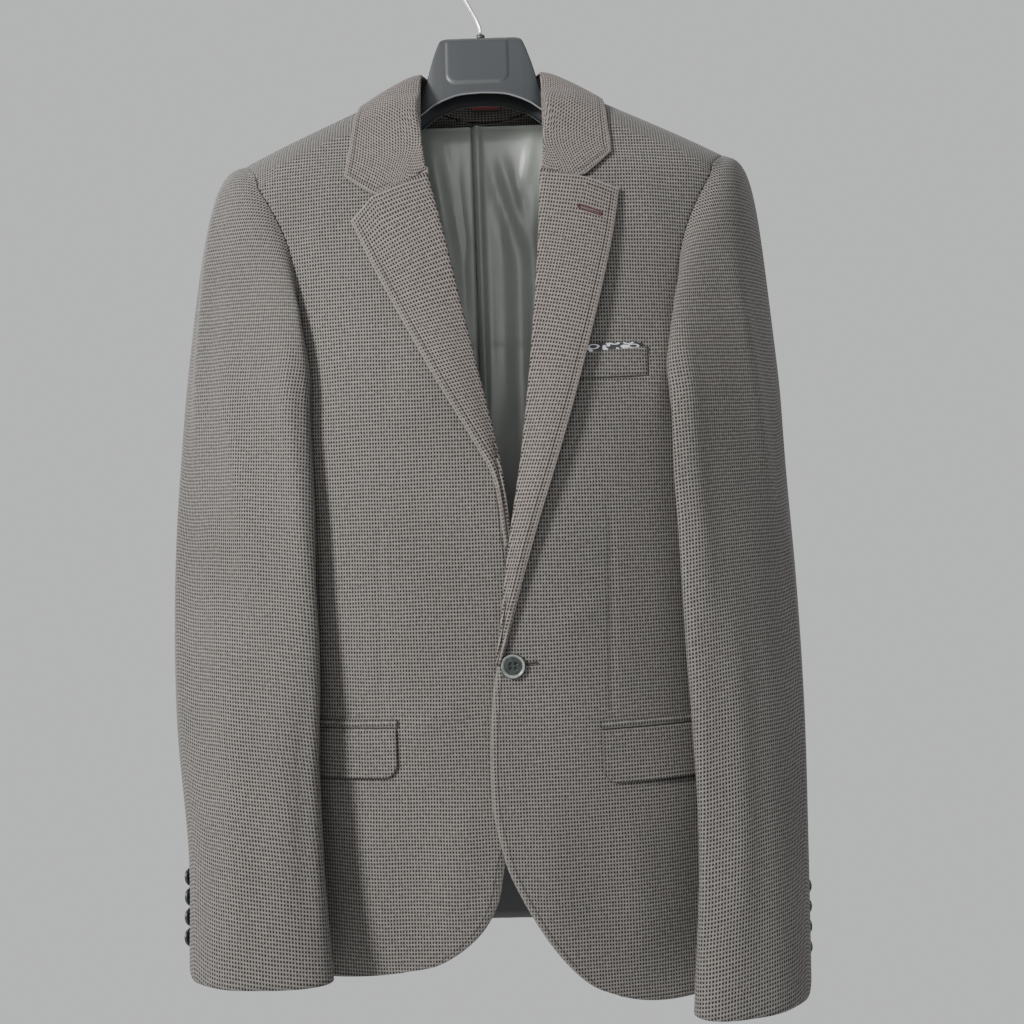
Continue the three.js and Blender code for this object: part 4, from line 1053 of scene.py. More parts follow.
# The label: a level strip, bent forwards by the square of X, with a faint wave.
def labelGrid():
    v, t = gridShares(8, 26)
    x = lerp(labelForm["near"], labelForm["far"], t)
    y = labelForm["y"] - 0.004 * x**2 + 0.2 * np.sin(x / 3)
    return stack(x, y, labelForm["topZ"] - labelForm["tall"] * v)


print("sleeve and trim forms ready")


hangerForm = {
    "out": [0, 20, 34, 37, 42, 53, 75, 110, 150, 185, 197],
    "topZ": [-82, -82, -83, -88, -102, -136, -138, -150.4, -169.3, -185.5, -192],
    "topY": [6, 6, 6, 6.5, 8, 11, 9.5, 9, 7.5, 5, 3],
    "baseZ": [-132, -133.5, -138, -139.5, -142, -150, -163, -177, -193, -206, -207],
    "baseY": [16, 16, 16, 16, 16, 16.5, 18, 19, 17.5, 13, 9],
    "wall": 2.2,
    "crown": 1.2,
    "panelLeft": -31,
    "panelRight": 24,
    "panelBase": -123,
    "panelDeep": 0.9,
    "panelEdge": 2.4,
    "panelRound": 9,
    "lip": 0.7,
}


# The hanger's shell: a front and a back face between the tables' top and base lines, joined by a
# half-round roof. The front has a raised panel with two rounded lower corners.
def hangerGrid():
    marks = np.concatenate([np.linspace(0, 60, 81), np.linspace(60, 197, 50)[1:]])
    x = np.concatenate([-marks[:0:-1], marks])[:, None]
    topZ, topY, baseZ, baseY = curves(hangerForm, "out", "topZ topY baseZ baseY", np.abs(x))
    edge, bend = hangerForm["panelEdge"], hangerForm["panelRound"]
    sides = []
    for sign in (-1, 1):
        share = np.linspace(0, 0.96, 46)[None, :]
        z = lerp(baseZ, topZ, share)
        middle = (hangerForm["panelLeft"] + hangerForm["panelRight"]) / 2
        half = (hangerForm["panelRight"] - hangerForm["panelLeft"]) / 2 - bend
        beyondX = np.maximum(np.abs(x - middle) - half, 0)
        beyondZ = np.maximum(hangerForm["panelBase"] + bend - z, 0)
        inside = 1 - smooth(np.hypot(beyondX, beyondZ), bend - edge, bend)
        out = hangerForm["panelDeep"] * inside if sign < 0 else 0
        out = out + hangerForm["lip"] * bell(z - baseZ, 0.6, 1.1)
        sides.append(stack(x + 0 * z, sign * (lerp(baseY, topY, share**0.8) + out), z))
    turn = np.linspace(-70, 70, 12)[None, :]
    roofZ = topZ + hangerForm["crown"] * cosDeg(turn) ** 0.6 - 0.3
    roof = stack(x + 0 * turn, topY * 0.98 * sinDeg(turn), roofZ)
    return np.concatenate([sides[0], roof, sides[1][:, ::-1]], axis=1)


# Evenly spaced angles round a full turn.
def fullTurn(count):
    return np.linspace(0, 2 * math.pi, count, endpoint=False)


# Rings of points round a path, each square to it and with its first point towards start.
def ringPoints(path, along, start, radius, segments):
    first = unit(start - along * (along @ start)[:, None])
    second = np.cross(along, first)
    turn = fullTurn(segments)[None, :, None]
    ring = first[:, None] * np.cos(turn) + second[:, None] * np.sin(turn)
    return (path[:, None] + ring * np.broadcast_to(radius, (len(path),))[:, None, None]).reshape(-1, 3)


# Closed tube of quads through a path of centres, with a radius at each and flat ends.
def tube(path, radius, segments=16, start=(0, 1, 0)):
    along = unit(np.gradient(path, axis=0))
    return ringPoints(path, along, np.array(start, float), radius, segments), ringQuads(len(path), segments)


# Quads from each ring to the next, and a row of quads across each end.
def ringQuads(rings, segments):
    index = np.arange(rings * segments).reshape(rings, segments)
    after = np.roll(index, -1, axis=1)
    body = np.stack([index[:-1], after[:-1], after[1:], index[1:]], axis=-1).reshape(-1, 4)
    i = np.arange(segments // 2 - 1)
    cap = np.stack([i, i + 1, segments - 2 - i, segments - 1 - i], axis=-1)
    return np.concatenate([body, cap[:, ::-1], cap + (rings - 1) * segments])


# A closed ring of tube, as round a buttonhole.
def loopTube(path, radius, segments=10):
    along = unit(np.roll(path, -1, axis=0) - np.roll(path, 1, axis=0))
    points = ringPoints(path, along, np.array([0, -1.0, 0]), radius, segments)
    index = np.arange(len(path) * segments).reshape(len(path), segments)
    after = np.roll(index, -1, axis=1)
    quads = np.stack([index, after, np.roll(after, -1, axis=0), np.roll(index, -1, axis=0)], axis=-1)
    return points, quads.reshape(-1, 4)


# One object from closed parts, each (points, quads, material number), faces turned outwards.
def addSolid(name, parts, materials, node=None):
    points, quads, kinds, count = [], [], [], 0
    for places, faces, kind in parts:
        quads.append(facingOut(places, faces) + count)
        points.append(places)
        kinds.append(np.broadcast_to(kind, (len(faces),)))
        count += len(places)
    thing = addMesh(name, np.concatenate(points), np.concatenate(quads), materials, kinds=np.concatenate(kinds))
    settle(thing, node)


hookForm = {"wire": 3, "innerRadius": 20.5, "bendZ": -68, "endAngle": -12, "nutRadius": 3.9, "nutTop": -75.8,
            "nutBase": -79.6}


# The hook's wire: up from the nut, leaning so that it meets the round end at a tangent, round to
# endAngle, and a nut below.
def hookParts():
    thin = hookForm["wire"] / 2
    radius = hookForm["innerRadius"] + thin
    centre = thin - radius
    reach = centre - hookForm["bendZ"]
    lean = math.asin(radius / reach)
    run = math.sqrt(reach**2 - radius**2)
    path = [[0, 0, hookForm["nutTop"] - 1], [0, 0, hookForm["bendZ"] - 4], [-0.2, 0, hookForm["bendZ"] - 1.5],
            [-1.1, 0, hookForm["bendZ"] + 1]]
    for share in np.linspace(0.12, 0.9, 12):
        path.append([-math.sin(lean) * run * share, 0, hookForm["bendZ"] + math.cos(lean) * run * share])
    for angle in np.linspace(math.pi + lean, math.radians(hookForm["endAngle"]), 60):
        path.append([radius * math.cos(angle), 0, centre + radius * math.sin(angle)])
    path = np.array(path)
    thickness = np.full(len(path), thin)
    thickness[-1] = thin * 0.72
    wire = (*tube(path, thickness, 20), 0)
    low, top, wide = hookForm["nutBase"], hookForm["nutTop"], hookForm["nutRadius"]
    heights = np.array([low, low + 0.4, top - 0.9, top - 0.3, top])
    nut = tube(stack(0 * heights, 0 * heights, heights), [wide - 0.3, wide, wide, wide - 0.5, wide - 1.2], 32)
    return [wire, (*nut, 1)]


buttonForm = {
    "front": {"radius": 10, "thick": 3, "hole": 1.1, "holeOut": 2.6, "rings": 64, "segments": 120},
    "cuff": {"radius": 7.2, "thick": 2.6, "hole": 0.85, "holeOut": 2.0, "rings": 38, "segments": 72},
    "out": 10.6,
    "z": -614,
    "pitch": 14.8,
    "lowest": 0.958,
    "turnFromSeam": {1: -17, -1: -1},
    "count": 4,
}


# A dished button with a raised rim and four holes; its own frame is (across, up, outwards).
def buttonParts(size, place, outwards):
    radius, thick = size["radius"], size["thick"]
    profile = np.array([
        [0.05, 0.2], [radius - 1.2, 0.05], [radius - 0.4, 0.3], [radius, thick * 0.42],
        [radius - 0.06, thick * 0.72], [radius - 0.5, thick * 0.96], [radius - 1.0, thick],
        [radius - 1.6, thick * 0.97], [radius - 2.5, thick * 0.74], [radius - 3.6, thick * 0.68],
        [radius * 0.4, thick * 0.74], [0.05, thick * 0.74],
    ])
    length = running(np.hypot(*np.diff(profile, axis=0).T))
    want = np.linspace(0, length[-1], size["rings"])
    r, height = np.interp(want, length, profile[:, 0]), np.interp(want, length, profile[:, 1])
    turn = fullTurn(size["segments"])
    x, y = r[:, None] * np.cos(turn), r[:, None] * np.sin(turn)
    upper = (want > length[6])[:, None]
    deep = np.zeros_like(x)
    at = size["holeOut"] / math.sqrt(2)
    for sx, sy in ((1, 1), (-1, 1), (-1, -1), (1, -1)):
        gap = np.hypot(x - sx * at, y - sy * at)
        deep = np.maximum(deep, 1 - smooth(gap, size["hole"] * 0.8, size["hole"] * 1.15))
    z = height[:, None] - upper * deep * thick * 0.6
    outwards = unit(np.asarray(outwards, float))
    across = unit(np.cross([0, 0, 1.0], outwards))
    if across[0] < 0:
        across = -across
    upwards = unit(np.cross(outwards, across))
    if upwards[2] < 0:
        upwards = -upwards
    frameOf = np.stack([across, upwards, outwards])
    body = stack(x, y, z).reshape(-1, 3) @ frameOf + place
    quads = ringQuads(size["rings"], size["segments"])
    rimRing = (want > length[5]) & (want < length[8])
    kinds = np.zeros(len(quads), int)
    kinds[: (size["rings"] - 1) * size["segments"]] = np.repeat(rimRing[:-1].astype(int), size["segments"])
    parts = [(body, quads, kinds)]
    for sy in (1, -1):
        span = np.linspace(-1, 1, 15)
        lift = thick * 0.74 + 0.45 * np.sqrt(np.maximum(0, 1 - span**4)) - 0.5 * (np.abs(span) > 0.95)
        path = stack(span * at, sy * at + 0 * span, lift) @ frameOf + place
        parts.append((*tube(path, 0.42 * radius / 10, 10, outwards), 2))
    return parts


# Places on a front-facing grid of cloth, from X and Z, by the nearest points of the grid.
def restOn(grid, x, z, lift):
    flat = grid.reshape(-1, 3)
    gap = (flat[None, :, 0] - x[:, None]) ** 2 + (flat[None, :, 2] - z[:, None]) ** 2
    near = np.argsort(gap, axis=1)[:, :4]
    weight = 1 / (np.take_along_axis(gap, near, axis=1) + 0.01)
    y = (flat[near, 1] * weight).sum(1) / weight.sum(1)
    return stack(x, y - lift, z)


# A worked buttonhole: a long loop of stitches round a slit, from one end to the other.
def buttonholeParts(grid, start, end, tall, thick):
    length = math.dist(start, end)
    turn = fullTurn(150)
    along = np.clip(np.cos(turn) * (length / 2 + tall), -length / 2, length / 2)
    across = np.sin(turn)
    across = np.sign(across) * np.abs(across) ** 0.35 * tall / 2
    dx, dz = (end[0] - start[0]) / length, (end[1] - start[1]) / length
    midX, midZ = (start[0] + end[0]) / 2, (start[1] + end[1]) / 2
    x = midX + along * dx - across * dz
    z = midZ + along * dz + across * dx
    path = restOn(grid, x, z, wall / 2 + thick * 0.25)
    steps = running(np.linalg.norm(np.diff(path, axis=0), axis=1))
    radius = thick / 2 * (1 + 0.22 * np.sin(steps * 2 * math.pi / 1.1))
    # The slit is a thin dark tube: painted shade in the cut.
    span = np.linspace(-0.5, 0.5, 30) * length
    slit = restOn(grid, midX + span * dx, midZ + span * dz, wall / 2 - 0.1)
    return [(*loopTube(path, radius), 0), (*tube(slit, 0.3, 8), 1)]


print("hard forms ready")


# A material of one plain colour, handed back with its node tree and its shader.
def newMaterial(name, colour, roughness, metallic=0.0):
    material = bpy.data.materials.new(name)
    material.use_nodes = True
    shader = material.node_tree.nodes["Principled BSDF"]
    shader.inputs["Base Color"].default_value = (*colour, 1)
    shader.inputs["Roughness"].default_value = roughness
    shader.inputs["Metallic"].default_value = metallic
    material.diffuse_color = (*colour, 1)
    return material, material.node_tree, shader


# A Math node on numbers and sockets.
def calc(tree, operation, *values):
    node = tree.nodes.new("ShaderNodeMath")
    node.operation = operation
    for socket, value in zip(node.inputs, values):
        if isinstance(value, (int, float)):
            socket.default_value = value
        else:
            tree.links.new(value, socket)
    return node.outputs[0]


# Two colours mixed by a share, or joined by another blend.
def mixColour(tree, share, first, second, blend="MIX"):
    node = tree.nodes.new("ShaderNodeMix")
    node.data_type = "RGBA"
    node.blend_type = blend
    for socket, value in ((node.inputs[0], share), (node.inputs[6], first), (node.inputs[7], second)):
        if isinstance(value, (int, float)):
            socket.default_value = value
        elif isinstance(value, tuple):
            socket.default_value = (*value, 1)
        else:
            tree.links.new(value, socket)
    return node.outputs[2]


# Noise at a place, about 0 to 1.
def noise(tree, vector, scale, detail=2.0):
    node = tree.nodes.new("ShaderNodeTexNoise")
    node.inputs["Scale"].default_value = scale
    node.inputs["Detail"].default_value = detail
    tree.links.new(vector, node.inputs["Vector"])
    return node.outputs["Fac"]


# Object coordinates, in metres.
def objectPlace(tree):
    return tree.nodes.new("ShaderNodeTexCoord").outputs["Object"]


# The piece's own cloth map, in metres along its threads.
def clothPlace(tree):
    node = tree.nodes.new("ShaderNodeUVMap")
    node.uv_map = "clothMap"
    return node.outputs["UV"]


# Bump on the shader from a height.
def bump(tree, shader, height, strength, distance):
    node = tree.nodes.new("ShaderNodeBump")
    node.inputs["Strength"].default_value = strength
    node.inputs["Distance"].default_value = distance
    tree.links.new(height, node.inputs["Height"])
    tree.links.new(node.outputs["Normal"], shader.inputs["Normal"])


# 0 below low, 1 above high and an eased step between; nearBand is the other way round.
def farBand(tree, value, low, high):
    node = tree.nodes.new("ShaderNodeMapRange")
    node.interpolation_type = "SMOOTHSTEP"
    node.inputs["From Min"].default_value = low
    node.inputs["From Max"].default_value = high
    tree.links.new(value, node.inputs["Value"])
    return node.outputs["Result"]


def nearBand(tree, value, low, high):
    return calc(tree, "SUBTRACT", 1.0, farBand(tree, value, low, high))


# A colour times a tone.
def shaded(tree, colour, tone):
    shade = tree.nodes.new("ShaderNodeCombineXYZ")
    for socket in shade.inputs:
        tree.links.new(tone, socket)
    return mixColour(tree, 1.0, colour, shade.outputs[0], "MULTIPLY")


# The X, Y and Z sockets of a vector.
def splitVector(tree, vector):
    split = tree.nodes.new("ShaderNodeSeparateXYZ")
    tree.links.new(vector, split.inputs[0])
    return split.outputs


# Noise of a scale, times a number and plus another.
def noiseTimes(tree, place, scale, times, plus, detail=2.0):
    return calc(tree, "MULTIPLY_ADD", noise(tree, place, scale, detail), times, plus)


clothLook = {
    "pitchU": 0.00234,
    "pitchV": 0.003,
    "light": (0.155, 0.147, 0.137),
    "dark": (0.0035, 0.003, 0.003),
    "lapelLight": (0.175, 0.156, 0.144),
    "rowShare": 0.97,
    "wobble": 1.3,
    "wander": 5.0,
    "powers": (1.9, 2.1),
    "grain": (2600, 1.0, 0.5),
    "slubs": (340, 1.3, 0.35),
    "clouds": (9, 0.36, 0.82, 3),
    "stitchAt": 5.5,
    "stitchShade": 0.4,
    "stitchDepth": 1.6,
    "paintedEdgeHighlight": 0.45,
    "roughness": 0.92,
}


# The mini check: light threads both ways over dark ones, each a wave across its pitch, made
# uneven by noise. A stitched edge gets a line of stitches and a painted highlight in a lighter
# band along its rim; trim may get painted shade in a dark band along its edges.
def clothMaterial(name, light, dark, stitchAt=None, paintedEdgeShade=0.0):
    material, tree, shader = newMaterial(name, light, clothLook["roughness"])
    place = clothPlace(tree)
    split = splitVector(tree, place)
    wobble = calc(tree, "ADD", noiseTimes(tree, place, 900, clothLook["wobble"], -clothLook["wobble"] / 2),
                  noiseTimes(tree, place, 22, clothLook["wander"], -clothLook["wander"] / 2))
    waves = []
    for axis, pitch in enumerate((clothLook["pitchU"], clothLook["pitchV"])):
        turn = calc(tree, "MULTIPLY_ADD", split[axis], 2 * math.pi / pitch, wobble)
        wave = calc(tree, "MULTIPLY_ADD", calc(tree, "COSINE", turn), 0.5, 0.5)
        waves.append(calc(tree, "POWER", wave, clothLook["powers"][axis]))
    threads = calc(tree, "MAXIMUM", waves[0], calc(tree, "MULTIPLY", waves[1], clothLook["rowShare"]))
    threads = calc(tree, "MULTIPLY", threads, noiseTimes(tree, place, *clothLook["grain"]))
    threads = calc(tree, "MULTIPLY", threads, noiseTimes(tree, place, *clothLook["slubs"]))
    threads = calc(tree, "MINIMUM", threads, 1.0)
    colour = mixColour(tree, threads, dark, light)
    colour = shaded(tree, colour, noiseTimes(tree, objectPlace(tree), *clothLook["clouds"]))
    height = calc(tree, "MULTIPLY", threads, 0.5)
    node = tree.nodes.new("ShaderNodeAttribute")
    node.attribute_name = "edgeGap"
    gap = node.outputs["Fac"]
    if stitchAt:
        line = nearBand(tree, calc(tree, "ABSOLUTE", calc(tree, "SUBTRACT", gap, stitchAt)), 0.2, 0.9)
        colour = mixColour(tree, calc(tree, "MULTIPLY", line, clothLook["stitchShade"]), colour, dark)
        height = calc(tree, "SUBTRACT", height, calc(tree, "MULTIPLY", line, clothLook["stitchDepth"]))
        # Painted highlight: a lighter band along the stitched edge, as if its rolled rim caught the light.
        edge = nearBand(tree, gap, 0.4, 2.6)
        colour = mixColour(tree, calc(tree, "MULTIPLY", edge, clothLook["paintedEdgeHighlight"]), colour, light)
    # Painted shade: a dark band along the edges of flaps, jets and the welt.
    if paintedEdgeShade:
        edge = nearBand(tree, gap, 0.3, 1.7)
        colour = mixColour(tree, calc(tree, "MULTIPLY", edge, paintedEdgeShade), colour, dark)
    tree.links.new(colour, shader.inputs["Base Color"])
    shader.inputs["Sheen Weight"].default_value = 0.08
    shader.inputs["Sheen Roughness"].default_value = 0.5
    shader.inputs["Specular IOR Level"].default_value = 0.2
    bump(tree, shader, height, 0.55, 0.0004)
    return material


cloth = clothMaterial("cloth", clothLook["light"], clothLook["dark"], clothLook["stitchAt"])
plainCloth = clothMaterial("clothNoEdge", clothLook["light"], clothLook["dark"])
# The trim's cloth has painted shade along its edges.
trimCloth = clothMaterial("trimCloth", clothLook["light"], clothLook["dark"], paintedEdgeShade=0.42)
lapelCloth = clothMaterial("lapelCloth", clothLook["lapelLight"], clothLook["dark"], clothLook["stitchAt"])


# A satin with faint clouds, which lowShade paints darker towards the bottom: painted shade deeper inside the
# garment.
def satinMaterial(name, colour, roughness, sheen, lowShade=0.0):
    material, tree, shader = newMaterial(name, colour, roughness)
    place = objectPlace(tree)
    colour = shaded(tree, colour, noiseTimes(tree, place, 14, 0.5, 0.75, 3))
    if lowShade:
        depth = farBand(tree, calc(tree, "MULTIPLY", splitVector(tree, place)[2], -1.0), 0.3, 0.62)
        colour = mixColour(tree, calc(tree, "MULTIPLY", depth, lowShade), colour, (0.012, 0.014, 0.014))
    tree.links.new(colour, shader.inputs["Base Color"])
    shader.inputs["Sheen Weight"].default_value = sheen
    shader.inputs["Specular IOR Level"].default_value = 0.4
    bump(tree, shader, noise(tree, place, 60, 2), 0.12, 0.001)
    return material


# The lining has painted shade, darker towards its hem.
lining = satinMaterial("liningSatin", (0.25, 0.266, 0.246), roughness=0.34, sheen=0.1, lowShade=0.88)
labelRed = satinMaterial("labelRibbon", (0.36, 0.075, 0.085), roughness=0.5, sheen=0.1)


# The square's print: small dots and the outlines of long leaves on dark cloth.
def squareMaterial():
    material, tree, shader = newMaterial("pocketSquare", (0.1, 0.1, 0.11), 0.7)
    place = clothPlace(tree)
    dots = tree.nodes.new("ShaderNodeTexVoronoi")
    dots.inputs["Scale"].default_value = 190
    tree.links.new(place, dots.inputs["Vector"])
    spot = nearBand(tree, dots.outputs["Distance"], 0.24, 0.34)
    stretch = tree.nodes.new("ShaderNodeMapping")
    stretch.inputs["Rotation"].default_value = (0, 0, 0.7)
    stretch.inputs["Scale"].default_value = (90, 260, 1)
    tree.links.new(place, stretch.inputs["Vector"])
    leaves = tree.nodes.new("ShaderNodeTexVoronoi")
    leaves.inputs["Scale"].default_value = 1.0
    tree.links.new(stretch.outputs[0], leaves.inputs["Vector"])
    outline = calc(tree, "ABSOLUTE", calc(tree, "SUBTRACT", leaves.outputs["Distance"], 0.36))
    leaf = nearBand(tree, outline, 0.04, 0.1)
    colour = mixColour(tree, calc(tree, "MAXIMUM", spot, leaf), (0.02, 0.02, 0.024), (0.5, 0.5, 0.52))
    tree.links.new(colour, shader.inputs["Base Color"])
    return material


# Plastic with a fine grain of noise as bump.
def plasticMaterial(name, colour, roughness, grainScale=1400, grainDepth=0.0002):
    material, tree, shader = newMaterial(name, colour, roughness)
    bump(tree, shader, noise(tree, objectPlace(tree), grainScale, 2), 0.25, grainDepth)
    return material


# A button's clouds: noise between two colours.
def buttonMaterial(name, low, high):
    material, tree, shader = newMaterial(name, high, 0.32)
    tone = farBand(tree, noise(tree, objectPlace(tree), 210, 4), 0.3, 0.7)
    tree.links.new(mixColour(tree, tone, low, high), shader.inputs["Base Color"])
    return material


square = squareMaterial()
hangerPlastic = plasticMaterial("hangerPlastic", (0.03, 0.033, 0.0355), 0.42)
# Painted shade: a much darker copy of the hanger's plastic for the inner faces of its hollow.
hangerInnerShade = plasticMaterial("hangerInnerShade", (0.008, 0.01, 0.013), 0.5)
# Painted highlight: a light grey on the hanger's rims, where the lips would catch the light.
hangerEdgeHighlight = plasticMaterial("hangerEdgeHighlight", (0.17, 0.175, 0.18), 0.35, grainDepth=0.0001)
nutPlastic = plasticMaterial("nutPlastic", (0.02, 0.022, 0.025), 0.4, 900, 0.0001)
steel = newMaterial("hookSteel", (0.62, 0.61, 0.58), 0.22, 1.0)[0]
buttonFace = buttonMaterial("buttonFace", (0.012, 0.016, 0.015), (0.028, 0.036, 0.033))
buttonRim = buttonMaterial("buttonRim", (0.1, 0.115, 0.108), (0.2, 0.215, 0.205))
buttonThread = newMaterial("buttonThread", (0.03, 0.03, 0.032), 0.8)[0]
burgundy = newMaterial("buttonholeBurgundy", (0.055, 0.012, 0.02), 0.8)[0]
holeThread = newMaterial("buttonholeDark", (0.035, 0.03, 0.028), 0.85)[0]
# Painted shade: near black for the buttonhole's slit.
slitShade = newMaterial("slitShade", (0.008, 0.007, 0.007), 0.9)[0]

print("materials ready")

liningPoints = liningGrid()
liningUv = np.stack([alongRows(liningPoints), -alongColumns(liningPoints)], axis=-1)
addPiece("lining_back", liningPoints, liningUv, [lining])

frontSkins, lapelSkins = {}, {}
for side, sideName in sideNames.items():
    grid, grain, out, z = frontGrid(side)
    seamDip = frontPiece["seamDepth"] * bell(edgeGaps(grid, ["right", "top"]), 0, frontPiece["seamSpread"])
    grid = raised(grid, frontHeights(side, out, z) - seamDip)
    rows = np.arange(len(grid))[:, None]
    isTucked = rows < frontPiece["armRows"] * len(grid) - untuckedRows
    grid = trimmed(grid, ["right"], np.where(isTucked, -tuckUnder, edgeTrim))
    grid = trimmed(grid, ["top"])
    frontSkins[side] = grid
    addPiece("front_" + sideName, grid, grain, [cloth, lining], edgeGaps(grid, ["left", "bottom"]))

    grid, grain, out, z = backGrid(side)
    heights = creaseSum(out, z, backPiece["creases"][side])
    heights = heights - backPiece["seamDepth"] * bell(out, 0, backPiece["seamSpread"])
    rows = np.arange(len(grid))[:, None]
    isTucked = (rows > 2) & (rows < backPiece["overRows"] + backPiece["armRows"] - untuckedRows)
    grid = trimmed(raised(grid, heights), ["right"], np.where(isTucked, -tuckUnder, edgeTrim))
    grid = trimmed(grid, ["left", "top"])
    addPiece("back_" + sideName, grid, grain, [plainCloth], edgeGaps(grid, ["bottom"]))

    grid = lapelGrid(side)
    lapelSkins[side] = grid
    across, down = alongRows(grid), alongColumns(grid)
    uv = np.stack([side * (across - across[:, -1:]), -np.broadcast_to(down[:, -1:], across.shape)], axis=-1)
    addPiece("lapel_" + sideName, grid, uv, [lapelCloth, plainCloth], lapelGaps(side, grid),
             np.array([0, -1.0, 0]) + 0 * grid)

    for part in ("top", "under"):
        grid, uv, away = sleeveGrid(side, part)
        grid = trimmed(grid, ["left", "right"])
        addPiece(f"sleeve_{part}_{sideName}", grid, uv, [plainCloth, lining], edgeGaps(grid, ["bottom"]), away)

    for kind, trimGrid in (("flap", flapGrid), ("jet", jetGrid)):
        grid, out, z = trimGrid(side)
        gap = edgeGaps(grid, ["left", "top", "bottom"])
        uv = bodyGrain(side, True, angleAt(out, z), z)
        addPiece(f"{kind}_{sideName}", grid, uv, [trimCloth, lining], gap)

grid = collarGrid()
across, down = alongRows(grid), alongColumns(grid)
uv = np.stack([across[:, -1:] - across, down - down[len(down) // 2]], axis=-1)
gap = edgeGaps(grid, ["right", "top", "bottom"])
gap = np.where(np.arange(grid.shape[1]) < grid.shape[1] * 0.45, noEdge, gap)
addPiece("collar", grid, uv, [lapelCloth, plainCloth], gap, grid * 0 + [0, 0, 1.0])

grid, out, z = weltGrid()
addPiece("chest_welt", grid, bodyGrain(1, True, angleAt(out, z), z) + [0, 1.1], [trimCloth, lining],
         edgeGaps(grid, ["right", "bottom"]))
grid, out, z = squareGrid()
addPiece("pocket_square", grid, np.stack([out, z], axis=-1), [square], thick=weltForm["squareThick"])
grid = labelGrid()
addPiece("label", grid, grid[..., [0, 2]], [labelRed], thick=labelForm["thick"])
print("cloth placed")

hangerPoints = hangerGrid()
points, quads, _, isInner = wallQuads(hangerPoints, hangerForm["wall"], hangerPoints * [0, 1, 0])
faces = (hangerPoints.shape[0] - 1) * (hangerPoints.shape[1] - 1)
# Painted shade on the inner faces of the hollow.
kinds = np.where(np.arange(len(quads)) < 2 * faces, isInner, 2)
# Painted highlight on the rim faces along the lips.
addSolid("hanger_body", [(points, quads, kinds)], [hangerPlastic, hangerInnerShade, hangerEdgeHighlight], "hanger_body")
addSolid("hanger_hook", hookParts(), [steel, nutPlastic], "hanger_hook")

buttonMaterials = [buttonFace, buttonRim, buttonThread]
at = np.array([buttonForm["out"]]), np.array([buttonForm["z"]])
base = onFront(1, *at, wall / 2 + seam + 0.2)[0]
outwards = base - onFront(1, *at, 0.0)[0]
addSolid("front_button", buttonParts(buttonForm["front"], base, outwards), buttonMaterials, "front_button")
for side, sideName in sideNames.items():
    rows = sleeveForm[side]["z"]
    length = (rows[0] - rows[-1]) / (1 - sleeveForm["headShare"])
    turn = sleeveForm["back"][1] + buttonForm["turnFromSeam"][side]
    for i in range(buttonForm["count"]):
        v = buttonForm["lowest"] - i * buttonForm["pitch"] / length
        here, across, down = (sleevePoint(side, np.array([turn + a]), np.array([v + b]))[0]
                              for a, b in ((0, 0), (3, 0), (0, 0.02)))
        normal = unit(np.cross(across - here, down - here))
        normal = -normal if normal[0] * side < 0 else normal
        name = f"cuff_button_{sideName}_{i + 1}"
        place = here + normal * (wall / 2 + 0.2)
        addSolid(name, buttonParts(buttonForm["cuff"], place, normal), buttonMaterials, name)

holes = {
    "buttonhole_front": (frontSkins[1], (20.5, -613.4), (30, -612.6), 2.0, 0.9, holeThread),
    "buttonhole_lapel": (lapelSkins[1], (75, -251), (93, -258), 3.0, 1.2, burgundy),
}
for name, (skin, start, end, tall, thick, thread) in holes.items():
    addSolid(name, buttonholeParts(skin, start, end, tall, thick), [thread, slitShade])
print("hard parts placed")

# The photo's camera, the floor, the world and the lights.
stage = {
    "camera": (0.0138, -1.030, -0.494),
    "roll": 1.9,
    "focalPixels": 1176,
    "photoPixels": 1024,
    "sensor": 36.0,
    "floorZ": -2.0,
    "floorReach": 2.05,
    "aim": (0, -0.05, -0.5),
    "world": (0.80, 0.81, 0.82, 1),
    "worldStrength": 0.78,
}
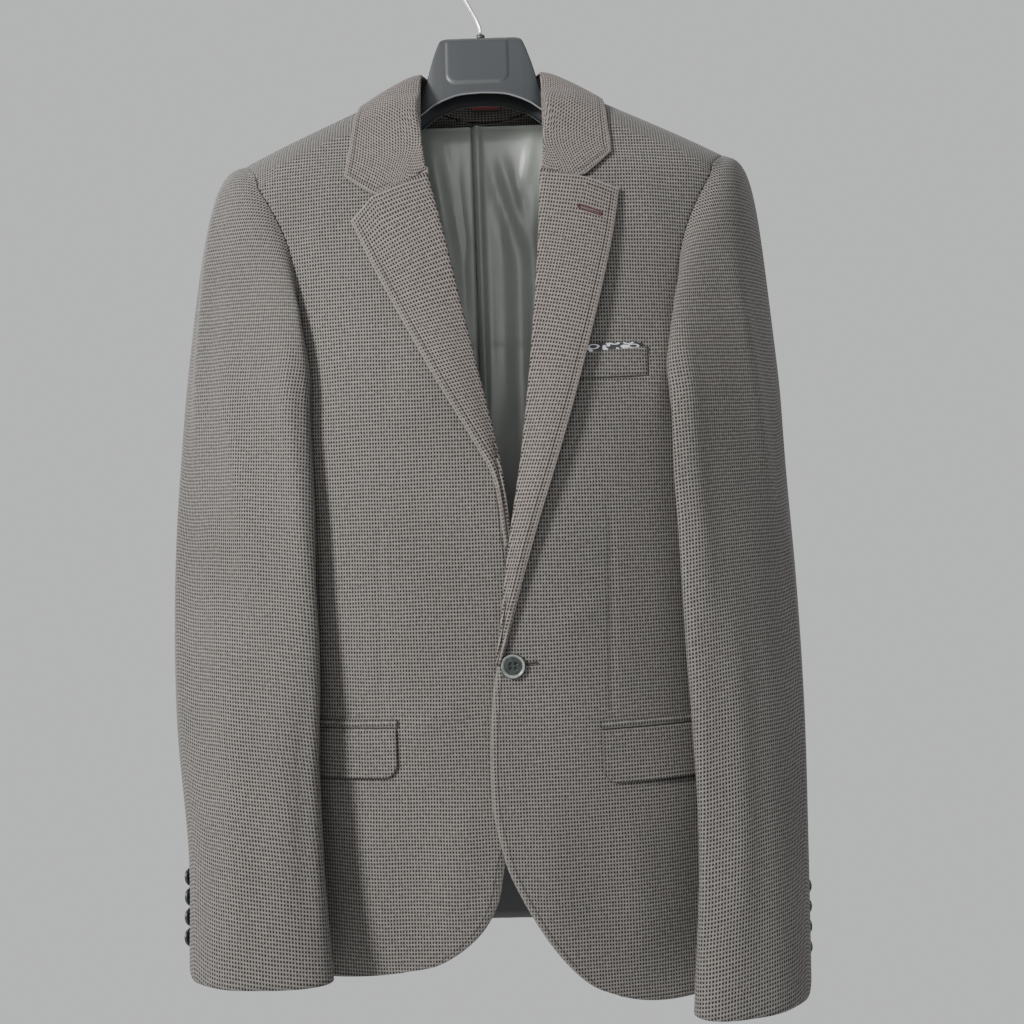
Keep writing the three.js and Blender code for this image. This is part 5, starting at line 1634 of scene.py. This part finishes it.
# Each light's place, size, power and colour.
lights = {
    "key": ((-1.5, -1.45, 0.35), 0.45, 88, (1.0, 0.985, 0.965)),
    "fill": ((1.6, -1.9, -0.2), 1.8, 4, (0.96, 0.98, 1.0)),
    "front": ((-0.2, -2.0, 0.3), 0.8, 10, (1, 1, 1)),
    "above": ((0.2, 0.2, 1.6), 1.4, 5, (1, 1, 1)),
    "behind": ((-1.5, 1.7, 0.5), 0.9, 30, (1, 1, 1)),
}

lens = bpy.data.cameras.new("camera")
lens.sensor_width = stage["sensor"]
lens.lens = stage["sensor"] * stage["focalPixels"] / stage["photoPixels"]
camera = bpy.data.objects.new("camera", lens)
roll = math.radians(stage["roll"])
camera.matrix_world = Matrix((
    (math.cos(roll), math.sin(roll), 0, stage["camera"][0]),
    (0, 0, -1, stage["camera"][1]),
    (-math.sin(roll), math.cos(roll), 0, stage["camera"][2]),
    (0, 0, 0, 1),
))
bpy.context.scene.collection.objects.link(camera)
bpy.context.scene.camera = camera

floorMesh = bpy.data.meshes.new("floor")
reach, floorZ = stage["floorReach"], stage["floorZ"]
floorMesh.from_pydata([(-reach, -reach, floorZ), (reach, -reach, floorZ), (reach, reach, floorZ),
                       (-reach, reach, floorZ)], [], [(0, 1, 2, 3)])
floorMesh.materials.append(newMaterial("floorPaint", (0.6, 0.6, 0.59), 0.9)[0])
floor = bpy.data.objects.new("floor", floorMesh)
bpy.context.scene.collection.objects.link(floor)

for name, (place, size, power, colour) in lights.items():
    light = bpy.data.lights.new(name, "AREA")
    light.size, light.energy, light.color = size, power, colour
    thing = bpy.data.objects.new(name, light)
    back = unit(np.array(place, float) - np.array(stage["aim"], float))
    right = unit(np.cross([0, 0, 1.0], back))
    up = np.cross(back, right)
    thing.matrix_world = Matrix([[right[i], up[i], back[i], place[i]] for i in range(3)] + [[0, 0, 0, 1]])
    bpy.context.scene.collection.objects.link(thing)

world = bpy.data.worlds.new("pale")
world.use_nodes = True
background = world.node_tree.nodes["Background"]
background.inputs["Color"].default_value = stage["world"]
background.inputs["Strength"].default_value = stage["worldStrength"]
bpy.context.scene.world = world
